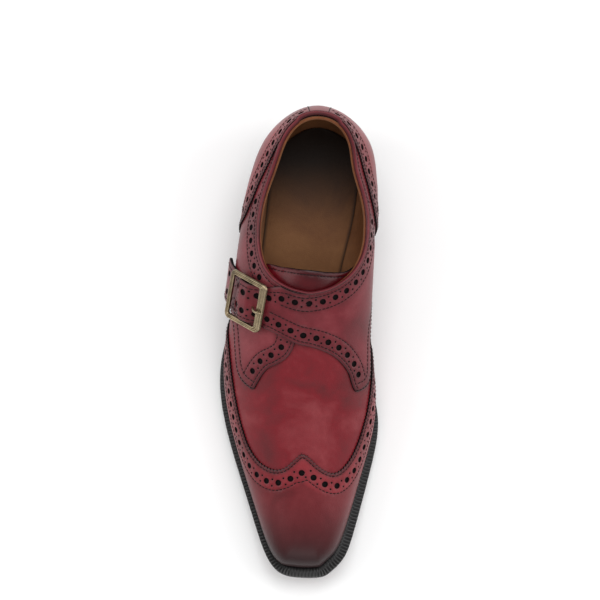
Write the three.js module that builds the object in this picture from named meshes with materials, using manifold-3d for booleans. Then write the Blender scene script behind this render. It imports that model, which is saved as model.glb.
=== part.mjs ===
// A man's single monk strap shoe for the right foot, in millimetres.
// +Z is up, the toe points to -Y, the inner (medial) side is +X and the outer (lateral) side -X.
// The origin is on the floor, under the centre of the shoe's outer box.
import * as THREE from "three";
import { mergeVertices } from "three/addons/utils/BufferGeometryUtils.js";
import Module from "manifold-3d";

const wasm = await Module();
wasm.setup();

// Driving dimensions
const SOLE_LENGTH = 305; // outsole, toe to heel
const BALL_WIDTH = 108; // outsole, across the ball
const HEEL_HEIGHT = 24; // heel block with its top piece, at the breast
const TOE_SPRING = 13; // underside of the outsole at the toe, above the floor
const OUTSOLE_THICK = 5;
const WELT_THICK = 3;
const TOP_PIECE_THICK = 6; // the lift that touches the floor
const WELT_EDGE = 7; // welt that shows round the toe
const INSTEP_HEIGHT = 87; // top of the upper at the throat, above the floor
const TOPLINE_HEIGHT = 91; // back of the top line, above the floor
const UPPER_WALL = 2.2; // vamp leather with its lining
const OVERLAY_THICK = 1.2; // one layer of upper leather
const TONGUE_THICK = 1.8;
const INSOLE_THICK = 3;
const STRAP_THICK = 2;
const SEAM_GAP = 0.3; // between two pieces that meet
const PLATE_GAP = 0.45; // between the plates of the sole
const FEATHER_GAP = 0.7; // between the welt and the edge of the upper

// The shoe's outline, a row for each station from toe to heel.
// along is a share of SOLE_LENGTH, the half widths are shares of BALL_WIDTH, and inset is how far
// the feather edge of the upper stands in from the sole's edge, in shares of WELT_EDGE.
const OUTLINE = [
  { along: 0.0, lateral: -0.01, medial: 0.01, insetL: 1.2, insetM: 1.2 },
  { along: 0.003, lateral: 0.094, medial: 0.118, insetL: 1.18, insetM: 1.24 },
  { along: 0.017, lateral: 0.167, medial: 0.181, insetL: 1.0, insetM: 1.3 },
  { along: 0.046, lateral: 0.226, medial: 0.252, insetL: 0.84, insetM: 1.28 },
  { along: 0.094, lateral: 0.283, medial: 0.302, insetL: 0.8, insetM: 1.2 },
  { along: 0.168, lateral: 0.357, medial: 0.353, insetL: 0.8, insetM: 1.14 },
  { along: 0.257, lateral: 0.446, medial: 0.409, insetL: 0.8, insetM: 1.06 },
  { along: 0.352, lateral: 0.525, medial: 0.437, insetL: 0.8, insetM: 0.92 },
  { along: 0.447, lateral: 0.555, medial: 0.36, insetL: 0.76, insetM: 0.62 },
  { along: 0.535, lateral: 0.506, medial: 0.246, insetL: 0.7, insetM: 0.46 },
  { along: 0.623, lateral: 0.418, medial: 0.207, insetL: 0.56, insetM: 0.42 },
  { along: 0.708, lateral: 0.373, medial: 0.243, insetL: 0.48, insetM: 0.42 },
  { along: 0.787, lateral: 0.354, medial: 0.287, insetL: 0.46, insetM: 0.44 },
  { along: 0.862, lateral: 0.335, medial: 0.306, insetL: 0.46, insetM: 0.46 },
  { along: 0.928, lateral: 0.288, medial: 0.289, insetL: 0.48, insetM: 0.48 },
  { along: 0.979, lateral: 0.17, medial: 0.178, insetL: 0.5, insetM: 0.5 },
  { along: 1.0, lateral: 0.0, medial: 0.0, insetL: 0.5, insetM: 0.5 },
];
const LAST_ROW = OUTLINE.length - 1;

// The last over which the upper is pulled, a row for each row of OUTLINE.
// spine is how far along SOLE_LENGTH the section meets the middle of the shoe and offset how far
// that is to the inner side, in shares of BALL_WIDTH. crown is the height there, in shares of
// INSTEP_HEIGHT; behind the throat it is a point in the air, above the opening.
// Each half of a section is one cubic curve. It leaves the feather edge towards a point that lies
// swell (shares of BALL_WIDTH) outside it and rise (share of the crown's height) above it, and it
// comes to the crown from a point at full (share of the half width) beside it.
const LAST = [
  { spine: 0.112, offset: 0.01, crown: 0.47, swellL: 0.018, swellM: 0.018, rise: 0.72, fullL: 0.5, fullM: 0.5 },
  { spine: 0.116, offset: 0.01, crown: 0.473, swellL: 0.02, swellM: 0.02, rise: 0.72, fullL: 0.52, fullM: 0.52 },
  { spine: 0.126, offset: 0.01, crown: 0.48, swellL: 0.025, swellM: 0.025, rise: 0.7, fullL: 0.56, fullM: 0.56 },
  { spine: 0.146, offset: 0.01, crown: 0.492, swellL: 0.03, swellM: 0.03, rise: 0.68, fullL: 0.6, fullM: 0.6 },
  { spine: 0.178, offset: 0.01, crown: 0.51, swellL: 0.035, swellM: 0.035, rise: 0.64, fullL: 0.62, fullM: 0.62 },
  { spine: 0.226, offset: 0.01, crown: 0.54, swellL: 0.04, swellM: 0.04, rise: 0.6, fullL: 0.62, fullM: 0.62 },
  { spine: 0.29, offset: 0.008, crown: 0.59, swellL: 0.045, swellM: 0.05, rise: 0.58, fullL: 0.6, fullM: 0.6 },
  { spine: 0.366, offset: 0.005, crown: 0.665, swellL: 0.05, swellM: 0.09, rise: 0.53, fullL: 0.58, fullM: 0.65 },
  { spine: 0.45, offset: 0.0, crown: 0.77, swellL: 0.07, swellM: 0.19, rise: 0.45, fullL: 0.6, fullM: 0.8 },
  { spine: 0.536, offset: -0.01, crown: 0.89, swellL: 0.16, swellM: 0.33, rise: 0.36, fullL: 0.64, fullM: 1.0 },
  { spine: 0.622, offset: -0.02, crown: 1.05, swellL: 0.27, swellM: 0.38, rise: 0.3, fullL: 0.68, fullM: 1.25 },
  { spine: 0.704, offset: -0.025, crown: 1.19, swellL: 0.34, swellM: 0.32, rise: 0.28, fullL: 0.3, fullM: 1.1 },
  { spine: 0.772, offset: -0.02, crown: 1.27, swellL: 0.32, swellM: 0.29, rise: 0.27, fullL: 0.12, fullM: 0.55 },
  { spine: 0.822, offset: -0.01, crown: 1.3, swellL: 0.26, swellM: 0.25, rise: 0.26, fullL: 0.12, fullM: 0.16 },
  { spine: 0.852, offset: 0.0, crown: 1.32, swellL: 0.2, swellM: 0.19, rise: 0.26, fullL: 0.38, fullM: 0.34 },
  { spine: 0.868, offset: 0.0, crown: 1.33, swellL: 0.15, swellM: 0.14, rise: 0.26, fullL: 0.7, fullM: 0.7 },
  { spine: 0.874, offset: 0.0, crown: 1.33, swellL: 0.14, swellM: 0.14, rise: 0.26, fullL: 0.82, fullM: 0.82 },
];

// The top line seen from the side: height in shares of TOPLINE_HEIGHT over the length.
const TOPLINE = [
  { along: 0.5, height: 1.02 },
  { along: 0.58, height: 0.965 },
  { along: 0.64, height: 0.89 },
  { along: 0.72, height: 0.845 },
  { along: 0.8, height: 0.855 },
  { along: 0.88, height: 0.915 },
  { along: 0.96, height: 0.995 },
  { along: 1.04, height: 1.05 },
];

// The underside of the outsole: height in shares of TOE_SPRING before the tread and of HEEL_HEIGHT behind it.
const TREAD_START = 0.27; // flat spot under the ball, shares of SOLE_LENGTH
const TREAD_END = 0.37;
const SEAT_START = 0.75;
const SEAT_RISE = 1.5; // the heel seat climbs this much to its back

// A natural cubic spline through (keys, values), as a function.
function spline(keys, values) {
  const n = keys.length;
  const bend = new Array(n).fill(0);
  const work = new Array(n).fill(0);
  for (let i = 1; i < n - 1; i++) {
    const sig = (keys[i] - keys[i - 1]) / (keys[i + 1] - keys[i - 1]);
    const p = sig * bend[i - 1] + 2;
    bend[i] = (sig - 1) / p;
    const slopes =
      (values[i + 1] - values[i]) / (keys[i + 1] - keys[i]) -
      (values[i] - values[i - 1]) / (keys[i] - keys[i - 1]);
    work[i] = ((6 * slopes) / (keys[i + 1] - keys[i - 1]) - sig * work[i - 1]) / p;
  }
  for (let i = n - 2; i >= 0; i--) bend[i] = bend[i] * bend[i + 1] + work[i];
  return (x) => {
    let i = 0;
    while (i < n - 2 && x > keys[i + 1]) i++;
    const h = keys[i + 1] - keys[i];
    const a = (keys[i + 1] - x) / h;
    const b = (x - keys[i]) / h;
    return (
      a * values[i] +
      b * values[i + 1] +
      (((a ** 3 - a) * bend[i] + (b ** 3 - b) * bend[i + 1]) * h * h) / 6
    );
  };
}

// A spline over the whole loop of rows: lateral side on negative rows, medial side on positive ones.
// It is read past both ends, so that toe and heel come out round.
function loopSpline(lateral, medial) {
  const wrap = 4;
  const keys = [];
  const values = [];
  for (let i = -LAST_ROW - wrap; i <= LAST_ROW + wrap; i++) {
    const row = Math.abs(i) <= LAST_ROW ? Math.abs(i) : 2 * LAST_ROW - Math.abs(i);
    const onMedial = Math.abs(i) <= LAST_ROW ? i >= 0 : i < 0;
    keys.push(i);
    values.push((onMedial ? medial : lateral)(row));
  }
  return spline(keys, values);
}

const smooth = (x, from, to) => {
  const t = Math.min(1, Math.max(0, (x - from) / (to - from)));
  return t * t * (3 - 2 * t);
};

// Height of the outsole's underside at a distance from the toe.
function treadHeight(y) {
  const along = y / SOLE_LENGTH;
  if (along < TREAD_START) return TOE_SPRING * ((TREAD_START - along) / TREAD_START) ** 1.7;
  if (along <= TREAD_END) return 0;
  const climb = smooth(along, TREAD_END, SEAT_START);
  const seat = Math.max(0, (along - SEAT_START) / (1 - SEAT_START));
  return HEEL_HEIGHT * climb + SEAT_RISE * seat;
}
const featherHeight = (y) => treadHeight(y) + OUTSOLE_THICK + WELT_THICK;

const outlineX = loopSpline(
  (r) => -OUTLINE[r].lateral * BALL_WIDTH,
  (r) => OUTLINE[r].medial * BALL_WIDTH,
);
const outlineY = loopSpline(
  (r) => OUTLINE[r].along * SOLE_LENGTH,
  (r) => OUTLINE[r].along * SOLE_LENGTH,
);
const featherInset = loopSpline(
  (r) => OUTLINE[r].insetL * WELT_EDGE,
  (r) => OUTLINE[r].insetM * WELT_EDGE,
);

// A point of the sole's outline, moved inwards by a margin. y runs from the toe here.
function outlinePoint(w, margin = 0) {
  const step = 0.01;
  const tangent = new THREE.Vector2(
    outlineX(w + step) - outlineX(w - step),
    outlineY(w + step) - outlineY(w - step),
  ).normalize();
  return new THREE.Vector2(
    outlineX(w) + tangent.y * -margin,
    outlineY(w) + tangent.x * margin,
  );
}

const both = (name, scale) => loopSpline((r) => LAST[r][name] * scale, (r) => LAST[r][name] * scale);
const sided = (l, m, scale) => loopSpline((r) => LAST[r][l] * scale, (r) => LAST[r][m] * scale);
const spineY = both("spine", SOLE_LENGTH);
const spineX = both("offset", BALL_WIDTH);
const crownZ = both("crown", INSTEP_HEIGHT);
const swell = sided("swellL", "swellM", BALL_WIDTH);
const rise = both("rise", 1);
const full = sided("fullL", "fullM", 1);

// One half section of the last: from the feather edge (v = 0) to the middle of the crown (v = 1).
function sectionCurve(w) {
  const edge = outlinePoint(w, featherInset(w));
  const row = Math.abs(w);
  const foot = new THREE.Vector3(edge.x, edge.y, featherHeight(edge.y) + FEATHER_GAP);
  const crown = new THREE.Vector3(spineX(row), spineY(row), crownZ(row));
  const out = new THREE.Vector3(foot.x - crown.x, foot.y - crown.y, 0);
  const width = out.length();
  out.normalize();
  const step = 0.05;
  const ridgeSlope =
    (crownZ(row + step) - crownZ(row - step)) / (spineY(row + step) - spineY(row - step) || 1);
  const slope = row < step || row > LAST_ROW - step ? ridgeSlopeAtEnd(row) : ridgeSlope;
  const lower = foot.clone().addScaledVector(out, swell(w));
  lower.z += (crown.z - foot.z) * rise(row);
  const upper = crown.clone().addScaledVector(out, width * full(w));
  upper.z += slope * (upper.y - crown.y);
  return new THREE.CubicBezierCurve3(foot, lower, upper, crown);
}
function ridgeSlopeAtEnd(row) {
  const [a, b] = row < 1 ? [0.05, 0.3] : [LAST_ROW - 0.3, LAST_ROW - 0.05];
  return (crownZ(b) - crownZ(a)) / (spineY(b) - spineY(a));
}


// The top line as a height over the length.
const toplineZ = spline(
  TOPLINE.map((r) => r.along * SOLE_LENGTH),
  TOPLINE.map((r) => r.height * TOPLINE_HEIGHT),
);

// The last as a net of points, from the feather edge of the inner side (girth 0) over the crown (1)
// to the feather edge of the outer side (2). Every leather piece is cut from this one net, so that
// layers lie flat on each other.
const ROW_STEPS = 34;
const GIRTH_STEPS = 20;
const rowAt = (i) => (i * LAST_ROW) / ROW_STEPS;
const girthAt = (j) => (j * 2) / GIRTH_STEPS;
const halfSection = (row, girth) => sectionCurve(girth <= 1 ? row : -row);
const lastPoint = (row, girth) => halfSection(row, girth).getPoint(girth <= 1 ? girth : 2 - girth);

function lastNormal(row, girth) {
  if (Math.abs(girth - 1) < 1e-6) {
    const r = Math.min(LAST_ROW - 0.2, Math.max(0.2, row));
    const rise = crownZ(r + 0.1) - crownZ(r - 0.1);
    const run = spineY(r + 0.1) - spineY(r - 0.1);
    return new THREE.Vector3(0, -rise, run).normalize();
  }
  const dr = 0.02;
  const dg = 0.004;
  const g = Math.min(2 - dg, Math.max(dg, girth));
  const side = g <= 1 ? 1 : -1;
  const at = (r, h) => sectionCurve(side * r).getPoint(side > 0 ? h : 2 - h);
  const along = at(row + dr, g).sub(at(row - dr, g));
  const up = at(row, g + dg).sub(at(row, g - dg));
  const n = new THREE.Vector3().crossVectors(along, up).normalize();
  const feather = girth < 1e-6 || girth > 2 - 1e-6;
  if (feather) {
    n.z = 0;
    n.divideScalar(n.lengthSq());
  }
  return n;
}

const netPoints = [];
const netNormals = [];
for (let i = 0; i <= ROW_STEPS; i++) {
  netPoints.push([]);
  netNormals.push([]);
  for (let j = 0; j <= GIRTH_STEPS; j++) {
    netPoints[i].push(lastPoint(rowAt(i), girthAt(j)));
    netNormals[i].push(lastNormal(rowAt(i), girthAt(j)));
  }
}

// A point of the net's own facets, at an offset outwards.
function netPoint(row, girth, offset) {
  const u = Math.min(ROW_STEPS - 1e-9, Math.max(0, (row / LAST_ROW) * ROW_STEPS));
  const v = Math.min(GIRTH_STEPS - 1e-9, Math.max(0, (girth / 2) * GIRTH_STEPS));
  const i = Math.floor(u);
  const j = Math.floor(v);
  const a = u - i;
  const b = v - j;
  const mix = (net) => {
    const p = new THREE.Vector3();
    if (a >= b) {
      p.addScaledVector(net[i][j], 1 - a).addScaledVector(net[i + 1][j], a - b);
      return p.addScaledVector(net[i + 1][j + 1], b);
    }
    p.addScaledVector(net[i][j], 1 - b).addScaledVector(net[i][j + 1], b - a);
    return p.addScaledVector(net[i + 1][j + 1], a);
  };
  return mix(netPoints).addScaledVector(mix(netNormals), offset);
}

// Flat working space for cutting: one unit of row and girth, the two faces of a layer, and a slight
// dome that keeps every point of the net through a cut.
const FLAT_ROW = 10;
const FLAT_GIRTH = 80;
const FLAT_LAYER = 10;
const dome = (x, y) => 0.004 * (x * x + x * y + y * y);

function flatSheet(fromRow, toRow) {
  const positions = [];
  const index = [];
  const first = Math.round((fromRow / LAST_ROW) * ROW_STEPS);
  const last = Math.round((toRow / LAST_ROW) * ROW_STEPS);
  const across = GIRTH_STEPS + 1;
  const count = (last - first + 1) * across;
  for (const layer of [0, FLAT_LAYER])
    for (let i = first; i <= last; i++)
      for (let j = 0; j <= GIRTH_STEPS; j++) {
        const x = rowAt(i) * FLAT_ROW;
        const y = girthAt(j) * FLAT_GIRTH;
        positions.push(x, y, layer + dome(x, y));
      }
  const id = (i, j, layer) => layer * count + i * across + j;
  const wide = last - first;
  for (let i = 0; i < wide; i++)
    for (let j = 0; j < GIRTH_STEPS; j++) {
      const [a, b, c, d] = [[i, j], [i + 1, j], [i + 1, j + 1], [i, j + 1]];
      index.push(id(...a, 1), id(...b, 1), id(...c, 1), id(...a, 1), id(...c, 1), id(...d, 1));
      index.push(id(...a, 0), id(...c, 0), id(...b, 0), id(...a, 0), id(...d, 0), id(...c, 0));
    }
  const wall = (p, q) => {
    index.push(id(...p, 0), id(...q, 0), id(...q, 1), id(...p, 0), id(...q, 1), id(...p, 1));
  };
  for (let i = 0; i < wide; i++) {
    wall([i, 0], [i + 1, 0]);
    wall([i + 1, GIRTH_STEPS], [i, GIRTH_STEPS]);
  }
  for (let j = 0; j < GIRTH_STEPS; j++) {
    wall([wide, j], [wide, j + 1]);
    wall([0, j + 1], [0, j]);
  }
  const geometry = new THREE.BufferGeometry();
  geometry.setAttribute("position", new THREE.Float32BufferAttribute(positions, 3));
  geometry.setIndex(index);
  return geometry;
}

function toSolid(geometry) {
  let g = geometry.clone();
  g.deleteAttribute("normal");
  g.deleteAttribute("uv");
  g = mergeVertices(g, 1e-5);
  return new wasm.Manifold(
    new wasm.Mesh({
      numProp: 3,
      vertProperties: new Float32Array(g.attributes.position.array),
      triVerts: new Uint32Array(g.index.array),
    }),
  );
}

function toGeometry(solid) {
  const mesh = solid.getMesh();
  const geometry = new THREE.BufferGeometry();
  const positions = new Float32Array(mesh.numVert * 3);
  for (let i = 0; i < mesh.numVert; i++)
    for (let k = 0; k < 3; k++) positions[i * 3 + k] = mesh.vertProperties[i * mesh.numProp + k];
  geometry.setAttribute("position", new THREE.BufferAttribute(positions, 3));
  geometry.setIndex(new THREE.BufferAttribute(new Uint32Array(mesh.triVerts), 1));
  return geometry;
}

// A cutter over the flat sheet from a closed line of [row, girth] points.
function flatCutter(points) {
  const shape = new THREE.Shape(
    points.map(([row, girth]) => new THREE.Vector2(row * FLAT_ROW, girth * FLAT_GIRTH)),
  );
  const tall = 2000;
  const cutter = new THREE.ExtrudeGeometry(shape, { depth: tall, bevelEnabled: false });
  cutter.translate(0, 0, -tall / 4);
  return toSolid(cutter);
}

// Wraps a flat piece over the last between two offsets and closes it along the toe and heel lines.
function wrap(flat, inner, outer) {
  const geometry = toGeometry(flat);
  const p = geometry.attributes.position;
  const positions = [];
  const flatRow = [];
  const tidy = (value) => Math.round(value * 1e4) / 1e4;
  for (let i = 0; i < p.count; i++) {
    const row = tidy(p.getX(i) / FLAT_ROW);
    let girth = tidy(p.getY(i) / FLAT_GIRTH);
    const onOuter = p.getZ(i) - dome(p.getX(i), p.getY(i)) > FLAT_LAYER / 2;
    if (row <= 0 || row >= LAST_ROW) girth = tidy(Math.min(girth, 2 - girth));
    const offset = (onOuter ? outer : inner)(row, girth);
    const point = netPoint(row, girth, offset);
    positions.push(point.x, point.y, point.z);
    flatRow.push(row);
  }
  const index = [];
  for (let t = 0; t < geometry.index.count; t += 3) {
    const tri = [0, 1, 2].map((k) => geometry.index.getX(t + k));
    const onSeam = [0, LAST_ROW].some((row) => tri.every((k) => flatRow[k] === row));
    if (!onSeam) index.push(...tri);
  }
  const result = new THREE.BufferGeometry();
  result.setAttribute("position", new THREE.Float32BufferAttribute(positions, 3));
  result.setIndex(index);
  return cleaned(result);
}

function volumeOf(geometry) {
  const p = geometry.attributes.position;
  const corner = (k) => new THREE.Vector3().fromBufferAttribute(p, geometry.index.getX(k));
  let sum = 0;
  for (let t = 0; t < geometry.index.count; t += 3)
    sum += corner(t).dot(corner(t + 1).cross(corner(t + 2))) / 6;
  return sum;
}

// Where the top line crosses a half section, as a girth measured from that side's feather edge.
const THROAT = 0.588; // front of the opening, share of SOLE_LENGTH
function collarGirth(row, side) {
  const curve = sectionCurve(side * row);
  let low = 0.2;
  let high = 1;
  const above = (t) => {
    const q = curve.getPoint(t);
    return q.z - toplineZ(q.y);
  };
  if (above(high) < 0) return 1;
  for (let k = 0; k < 40; k++) {
    const mid = (low + high) / 2;
    if (above(mid) > 0) high = mid;
    else low = mid;
  }
  return low;
}
let throatRow = 8;
while (spineY(throatRow) < THROAT * SOLE_LENGTH) throatRow += 0.005;

// The opening's edge in rows and girths, once round from the heel over the inner side.
const collarRows = [];
for (let k = 0; k <= 44; k++) collarRows.push(throatRow + (LAST_ROW - throatRow) * (k / 44) ** 2);
const collarMedial = collarRows.map((r) => [r, collarGirth(r, 1)]);
const collarLateral = collarRows.map((r) => [r, 2 - collarGirth(r, -1)]);

const group = new THREE.Group();
function add(name, geometry, colour, roughness, metalness = 0) {
  const material = new THREE.MeshStandardMaterial({ color: colour, roughness, metalness });
  const mesh = new THREE.Mesh(geometry, material);
  mesh.name = name;
  group.add(mesh);
}
const BURGUNDY = 0x7a2a33;
const constant = (value) => () => value;

// ---- sole ----

// A plate between two heights that follows the outline, inset by a margin.
function plate(margin, bottom, top, steps = ROW_STEPS, across = 4) {
  const positions = [];
  const index = [];
  const rows = [];
  for (let i = 0; i <= steps; i++) {
    const row = (i / steps) * LAST_ROW;
    const left = outlinePoint(-row, margin(-row));
    const right = outlinePoint(row, margin(row));
    for (const layer of [0, 1]) {
      rows.push([]);
      for (let j = 0; j <= across; j++) {
        const p = left.clone().lerp(right, j / across);
        rows[rows.length - 1].push(positions.length / 3);
        positions.push(p.x, p.y, (layer ? top : bottom)(p.y));
      }
    }
  }
  for (let i = 0; i < steps; i++) {
    const [lo, hi, lo2, hi2] = [rows[2 * i], rows[2 * i + 1], rows[2 * i + 2], rows[2 * i + 3]];
    for (let j = 0; j < across; j++) {
      index.push(hi[j], hi[j + 1], hi2[j + 1], hi[j], hi2[j + 1], hi2[j]);
      index.push(lo[j], lo2[j + 1], lo[j + 1], lo[j], lo2[j], lo2[j + 1]);
    }
    index.push(lo[0], hi[0], hi2[0], lo[0], hi2[0], lo2[0]);
    const n = across;
    index.push(lo[n], hi2[n], hi[n], lo[n], lo2[n], hi2[n]);
  }
  let g = new THREE.BufferGeometry();
  g.setAttribute("position", new THREE.Float32BufferAttribute(positions, 3));
  g.setIndex(index);
  return cleaned(g);
}

// Welds equal points, drops triangles that have closed up and turns the faces outwards.
function cleaned(geometry) {
  const g = mergeVertices(geometry, 1e-3);
  const kept = [];
  for (let t = 0; t < g.index.count; t += 3) {
    const [a, b, c] = [g.index.getX(t), g.index.getX(t + 1), g.index.getX(t + 2)];
    if (a !== b && b !== c && c !== a) kept.push(a, b, c);
  }
  g.setIndex(kept);
  if (volumeOf(g) < 0) {
    for (let t = 0; t < kept.length; t += 3) [kept[t], kept[t + 1]] = [kept[t + 1], kept[t]];
    g.setIndex(kept);
  }
  return g;
}

const soleTop = (y) => treadHeight(y) + OUTSOLE_THICK;
add("outsole", plate(constant(0), treadHeight, soleTop), 0x42201f, 0.5);

// The welt is a ring: it carries the upper's edge and shows as a rim outside it.
const weltInner = (w) => featherInset(w) + UPPER_WALL * 1.35;
function ring(outer, inner, bottom, top, steps = 2 * ROW_STEPS) {
  const positions = [];
  const index = [];
  for (let i = 0; i < steps; i++) {
    const w = -LAST_ROW + (2 * LAST_ROW * i) / steps;
    const a = outlinePoint(w, outer(w));
    const b = outlinePoint(w, inner(w));
    positions.push(a.x, a.y, bottom(a.y), a.x, a.y, top(a.y));
    positions.push(b.x, b.y, top(b.y), b.x, b.y, bottom(b.y));
  }
  for (let i = 0; i < steps; i++) {
    const n = (i + 1) % steps;
    for (let k = 0; k < 4; k++) {
      const m = (k + 1) % 4;
      index.push(4 * i + k, 4 * n + k, 4 * n + m, 4 * i + k, 4 * n + m, 4 * i + m);
    }
  }
  const g = new THREE.BufferGeometry();
  g.setAttribute("position", new THREE.Float32BufferAttribute(positions, 3));
  g.setIndex(index);
  return cleaned(g);
}
add(
  "welt",
  ring(constant(0), weltInner, (y) => soleTop(y) + PLATE_GAP, (y) => featherHeight(y)),
  0x171314,
  0.5,
);

// The insole fills the shoe inside the welt and the upper, and carries the sock.
const INSOLE_PLAY = 2; // between the insole and the upper
const insoleMargin = (w) => weltInner(w) + INSOLE_PLAY;
add(
  "insole",
  plate(insoleMargin, (y) => soleTop(y) + PLATE_GAP, (y) => featherHeight(y) + INSOLE_THICK),
  0x6b4a2c,
  0.8,
);

// ---- heel ----

// The breast of the heel: where it starts on each side of the sole, and how far it is hollowed.
const BREAST_LATERAL = 0.742; // shares of SOLE_LENGTH
const BREAST_MEDIAL = 0.71;
const BREAST_HOLLOW = 4.5;
const BREAST_LEAN = 5.5; // further back at the floor
const HEEL_TAPER = 2.4; // smaller at the floor all round
const RUBBER_LATERAL = 0.868; // where the rubber of the top piece starts
const RUBBER_MEDIAL = 0.9;

function rowOf(along) {
  let row = 6;
  while (outlineY(row) < along * SOLE_LENGTH && row < LAST_ROW) row += 0.002;
  return row;
}

// A slab of the heel between two lines across it and two heights, by station down the taper.
function heelSlab(front, back, low, high, rows = 12, across = 6) {
  const positions = [];
  const index = [];
  const height = HEEL_HEIGHT;
  const at = (z, side, row) => {
    const drop = Math.min(1, Math.max(0, 1 - z / height));
    return outlinePoint(side * row, HEEL_TAPER * drop);
  };
  for (let i = 0; i <= rows; i++)
    for (const layer of [0, 1])
      for (let j = 0; j <= across; j++) {
        const f = j / across;
        const rowL = front.lateral + ((back.lateral - front.lateral) * i) / rows;
        const rowM = front.medial + ((back.medial - front.medial) * i) / rows;
        const level = layer ? high : low;
        const probe = at(level(0), -1, rowL).lerp(at(level(0), 1, rowM), f);
        const z = level(probe.y);
        const p = at(z, -1, rowL).lerp(at(z, 1, rowM), f);
        const hollow = front.hollow * (1 - i / rows) + back.hollow * (i / rows);
        const lean = (front.lean * (1 - i / rows) + back.lean * (i / rows)) * (1 - z / height);
        p.y += hollow * 4 * f * (1 - f) + lean;
        positions.push(p.x, p.y, level(p.y));
      }
  const id = (i, layer, j) => (i * 2 + layer) * (across + 1) + j;
  for (let i = 0; i < rows; i++) {
    for (let j = 0; j < across; j++) {
      const q = (l) => [id(i, l, j), id(i, l, j + 1), id(i + 1, l, j + 1), id(i + 1, l, j)];
      const [a, b, c, d] = q(1);
      index.push(a, b, c, a, c, d);
      const [e, f, g, h] = q(0);
      index.push(e, g, f, e, h, g);
    }
    for (const j of [0, across]) {
      const [a, b, c, d] = [id(i, 0, j), id(i, 1, j), id(i + 1, 1, j), id(i + 1, 0, j)];
      if (j === 0) index.push(a, b, c, a, c, d);
      else index.push(a, c, b, a, d, c);
    }
  }
  for (const i of [0, rows])
    for (let j = 0; j < across; j++) {
      const [a, b, c, d] = [id(i, 0, j), id(i, 0, j + 1), id(i, 1, j + 1), id(i, 1, j)];
      if (i === 0) index.push(a, b, c, a, c, d);
      else index.push(a, c, b, a, d, c);
    }
  const g = new THREE.BufferGeometry();
  g.setAttribute("position", new THREE.Float32BufferAttribute(positions, 3));
  g.setIndex(index);
  return cleaned(g);
}
const breast = {
  lateral: rowOf(BREAST_LATERAL),
  medial: rowOf(BREAST_MEDIAL),
  hollow: BREAST_HOLLOW,
  lean: BREAST_LEAN,
};
const heelEnd = { lateral: LAST_ROW, medial: LAST_ROW, hollow: 0, lean: 0 };
const rubberLine = (gap) => ({
  lateral: rowOf(RUBBER_LATERAL + gap / SOLE_LENGTH),
  medial: rowOf(RUBBER_MEDIAL + gap / SOLE_LENGTH),
  hollow: 0,
  lean: 0,
});
add(
  "heel_stack",
  heelSlab(breast, heelEnd, constant(TOP_PIECE_THICK + SEAM_GAP), (y) => treadHeight(y) - PLATE_GAP),
  0x1d1516,
  0.5,
);
add(
  "heel_top_leather",
  heelSlab(breast, rubberLine(-SEAM_GAP / 2), constant(0), constant(TOP_PIECE_THICK), 6),
  0x4c2326,
  0.6,
);
add(
  "heel_top_rubber",
  heelSlab(rubberLine(SEAM_GAP / 2), heelEnd, constant(0), constant(TOP_PIECE_THICK), 8),
  0x1f2022,
  0.8,
);

// ---- upper ----

const opening = flatCutter([
  ...collarMedial,
  [LAST_ROW + 1, collarMedial[collarMedial.length - 1][1]],
  [LAST_ROW + 1, collarLateral[collarLateral.length - 1][1]],
  ...collarLateral.slice().reverse().slice(0, -1),
]);
const wholeLast = toSolid(flatSheet(0, LAST_ROW));
const shell = wholeLast.subtract(opening);
add("upper", wrap(shell, constant(-UPPER_WALL), constant(0)), BURGUNDY, 0.5);

// ---- leather pieces laid over the upper ----

// Patterns as lines of [row, girth] points on the last.
const WING_EDGE = [
  [9.85, -0.1], [9.8, 0.0], [9.3, 0.16], [8.7, 0.28], [8.1, 0.36], [7.5, 0.4], [6.9, 0.42],
  [6.4, 0.44], [6.0, 0.48], [5.65, 0.56], [5.4, 0.66], [5.32, 0.76], [5.36, 0.88], [5.5, 0.98],
  [5.66, 1.06], [5.5, 1.14], [5.38, 1.22], [5.4, 1.32], [5.55, 1.42], [5.8, 1.52], [6.2, 1.6],
  [6.75, 1.635], [7.3, 1.65], [7.9, 1.67], [8.5, 1.7], [8.95, 1.77], [9.35, 1.87], [9.6, 2.0],
  [9.65, 2.1],
];
const QUARTER_LATERAL_FRONT = [
  [9.9, 2.1], [9.85, 2.0], [9.75, 1.88], [9.6, 1.76], [9.35, 1.67], [9.0, 1.62], [8.4, 1.6],
  [7.95, 1.585], [7.7, 1.55], [7.5, 1.48], [7.42, 1.43], [7.55, 1.39], [7.75, 1.34], [7.9, 1.29],
  [8.0, 1.22], [8.2, 1.14], [8.5, 1.1], [8.9, 1.09],
];
const QUARTER_MEDIAL_FRONT = [
  [10.1, -0.1], [10.05, 0.0], [9.95, 0.1], [9.7, 0.22], [9.35, 0.32], [8.9, 0.37], [8.4, 0.39],
  [7.95, 0.41], [7.75, 0.45], [7.6, 0.52], [7.52, 0.6], [7.65, 0.64], [7.9, 0.68], [8.1, 0.74],
  [8.25, 0.81], [8.35, 0.9], [8.42, 1.0], [8.5, 1.08], [8.66, 1.17], [8.8, 1.24], [8.91, 1.3],
];
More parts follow.
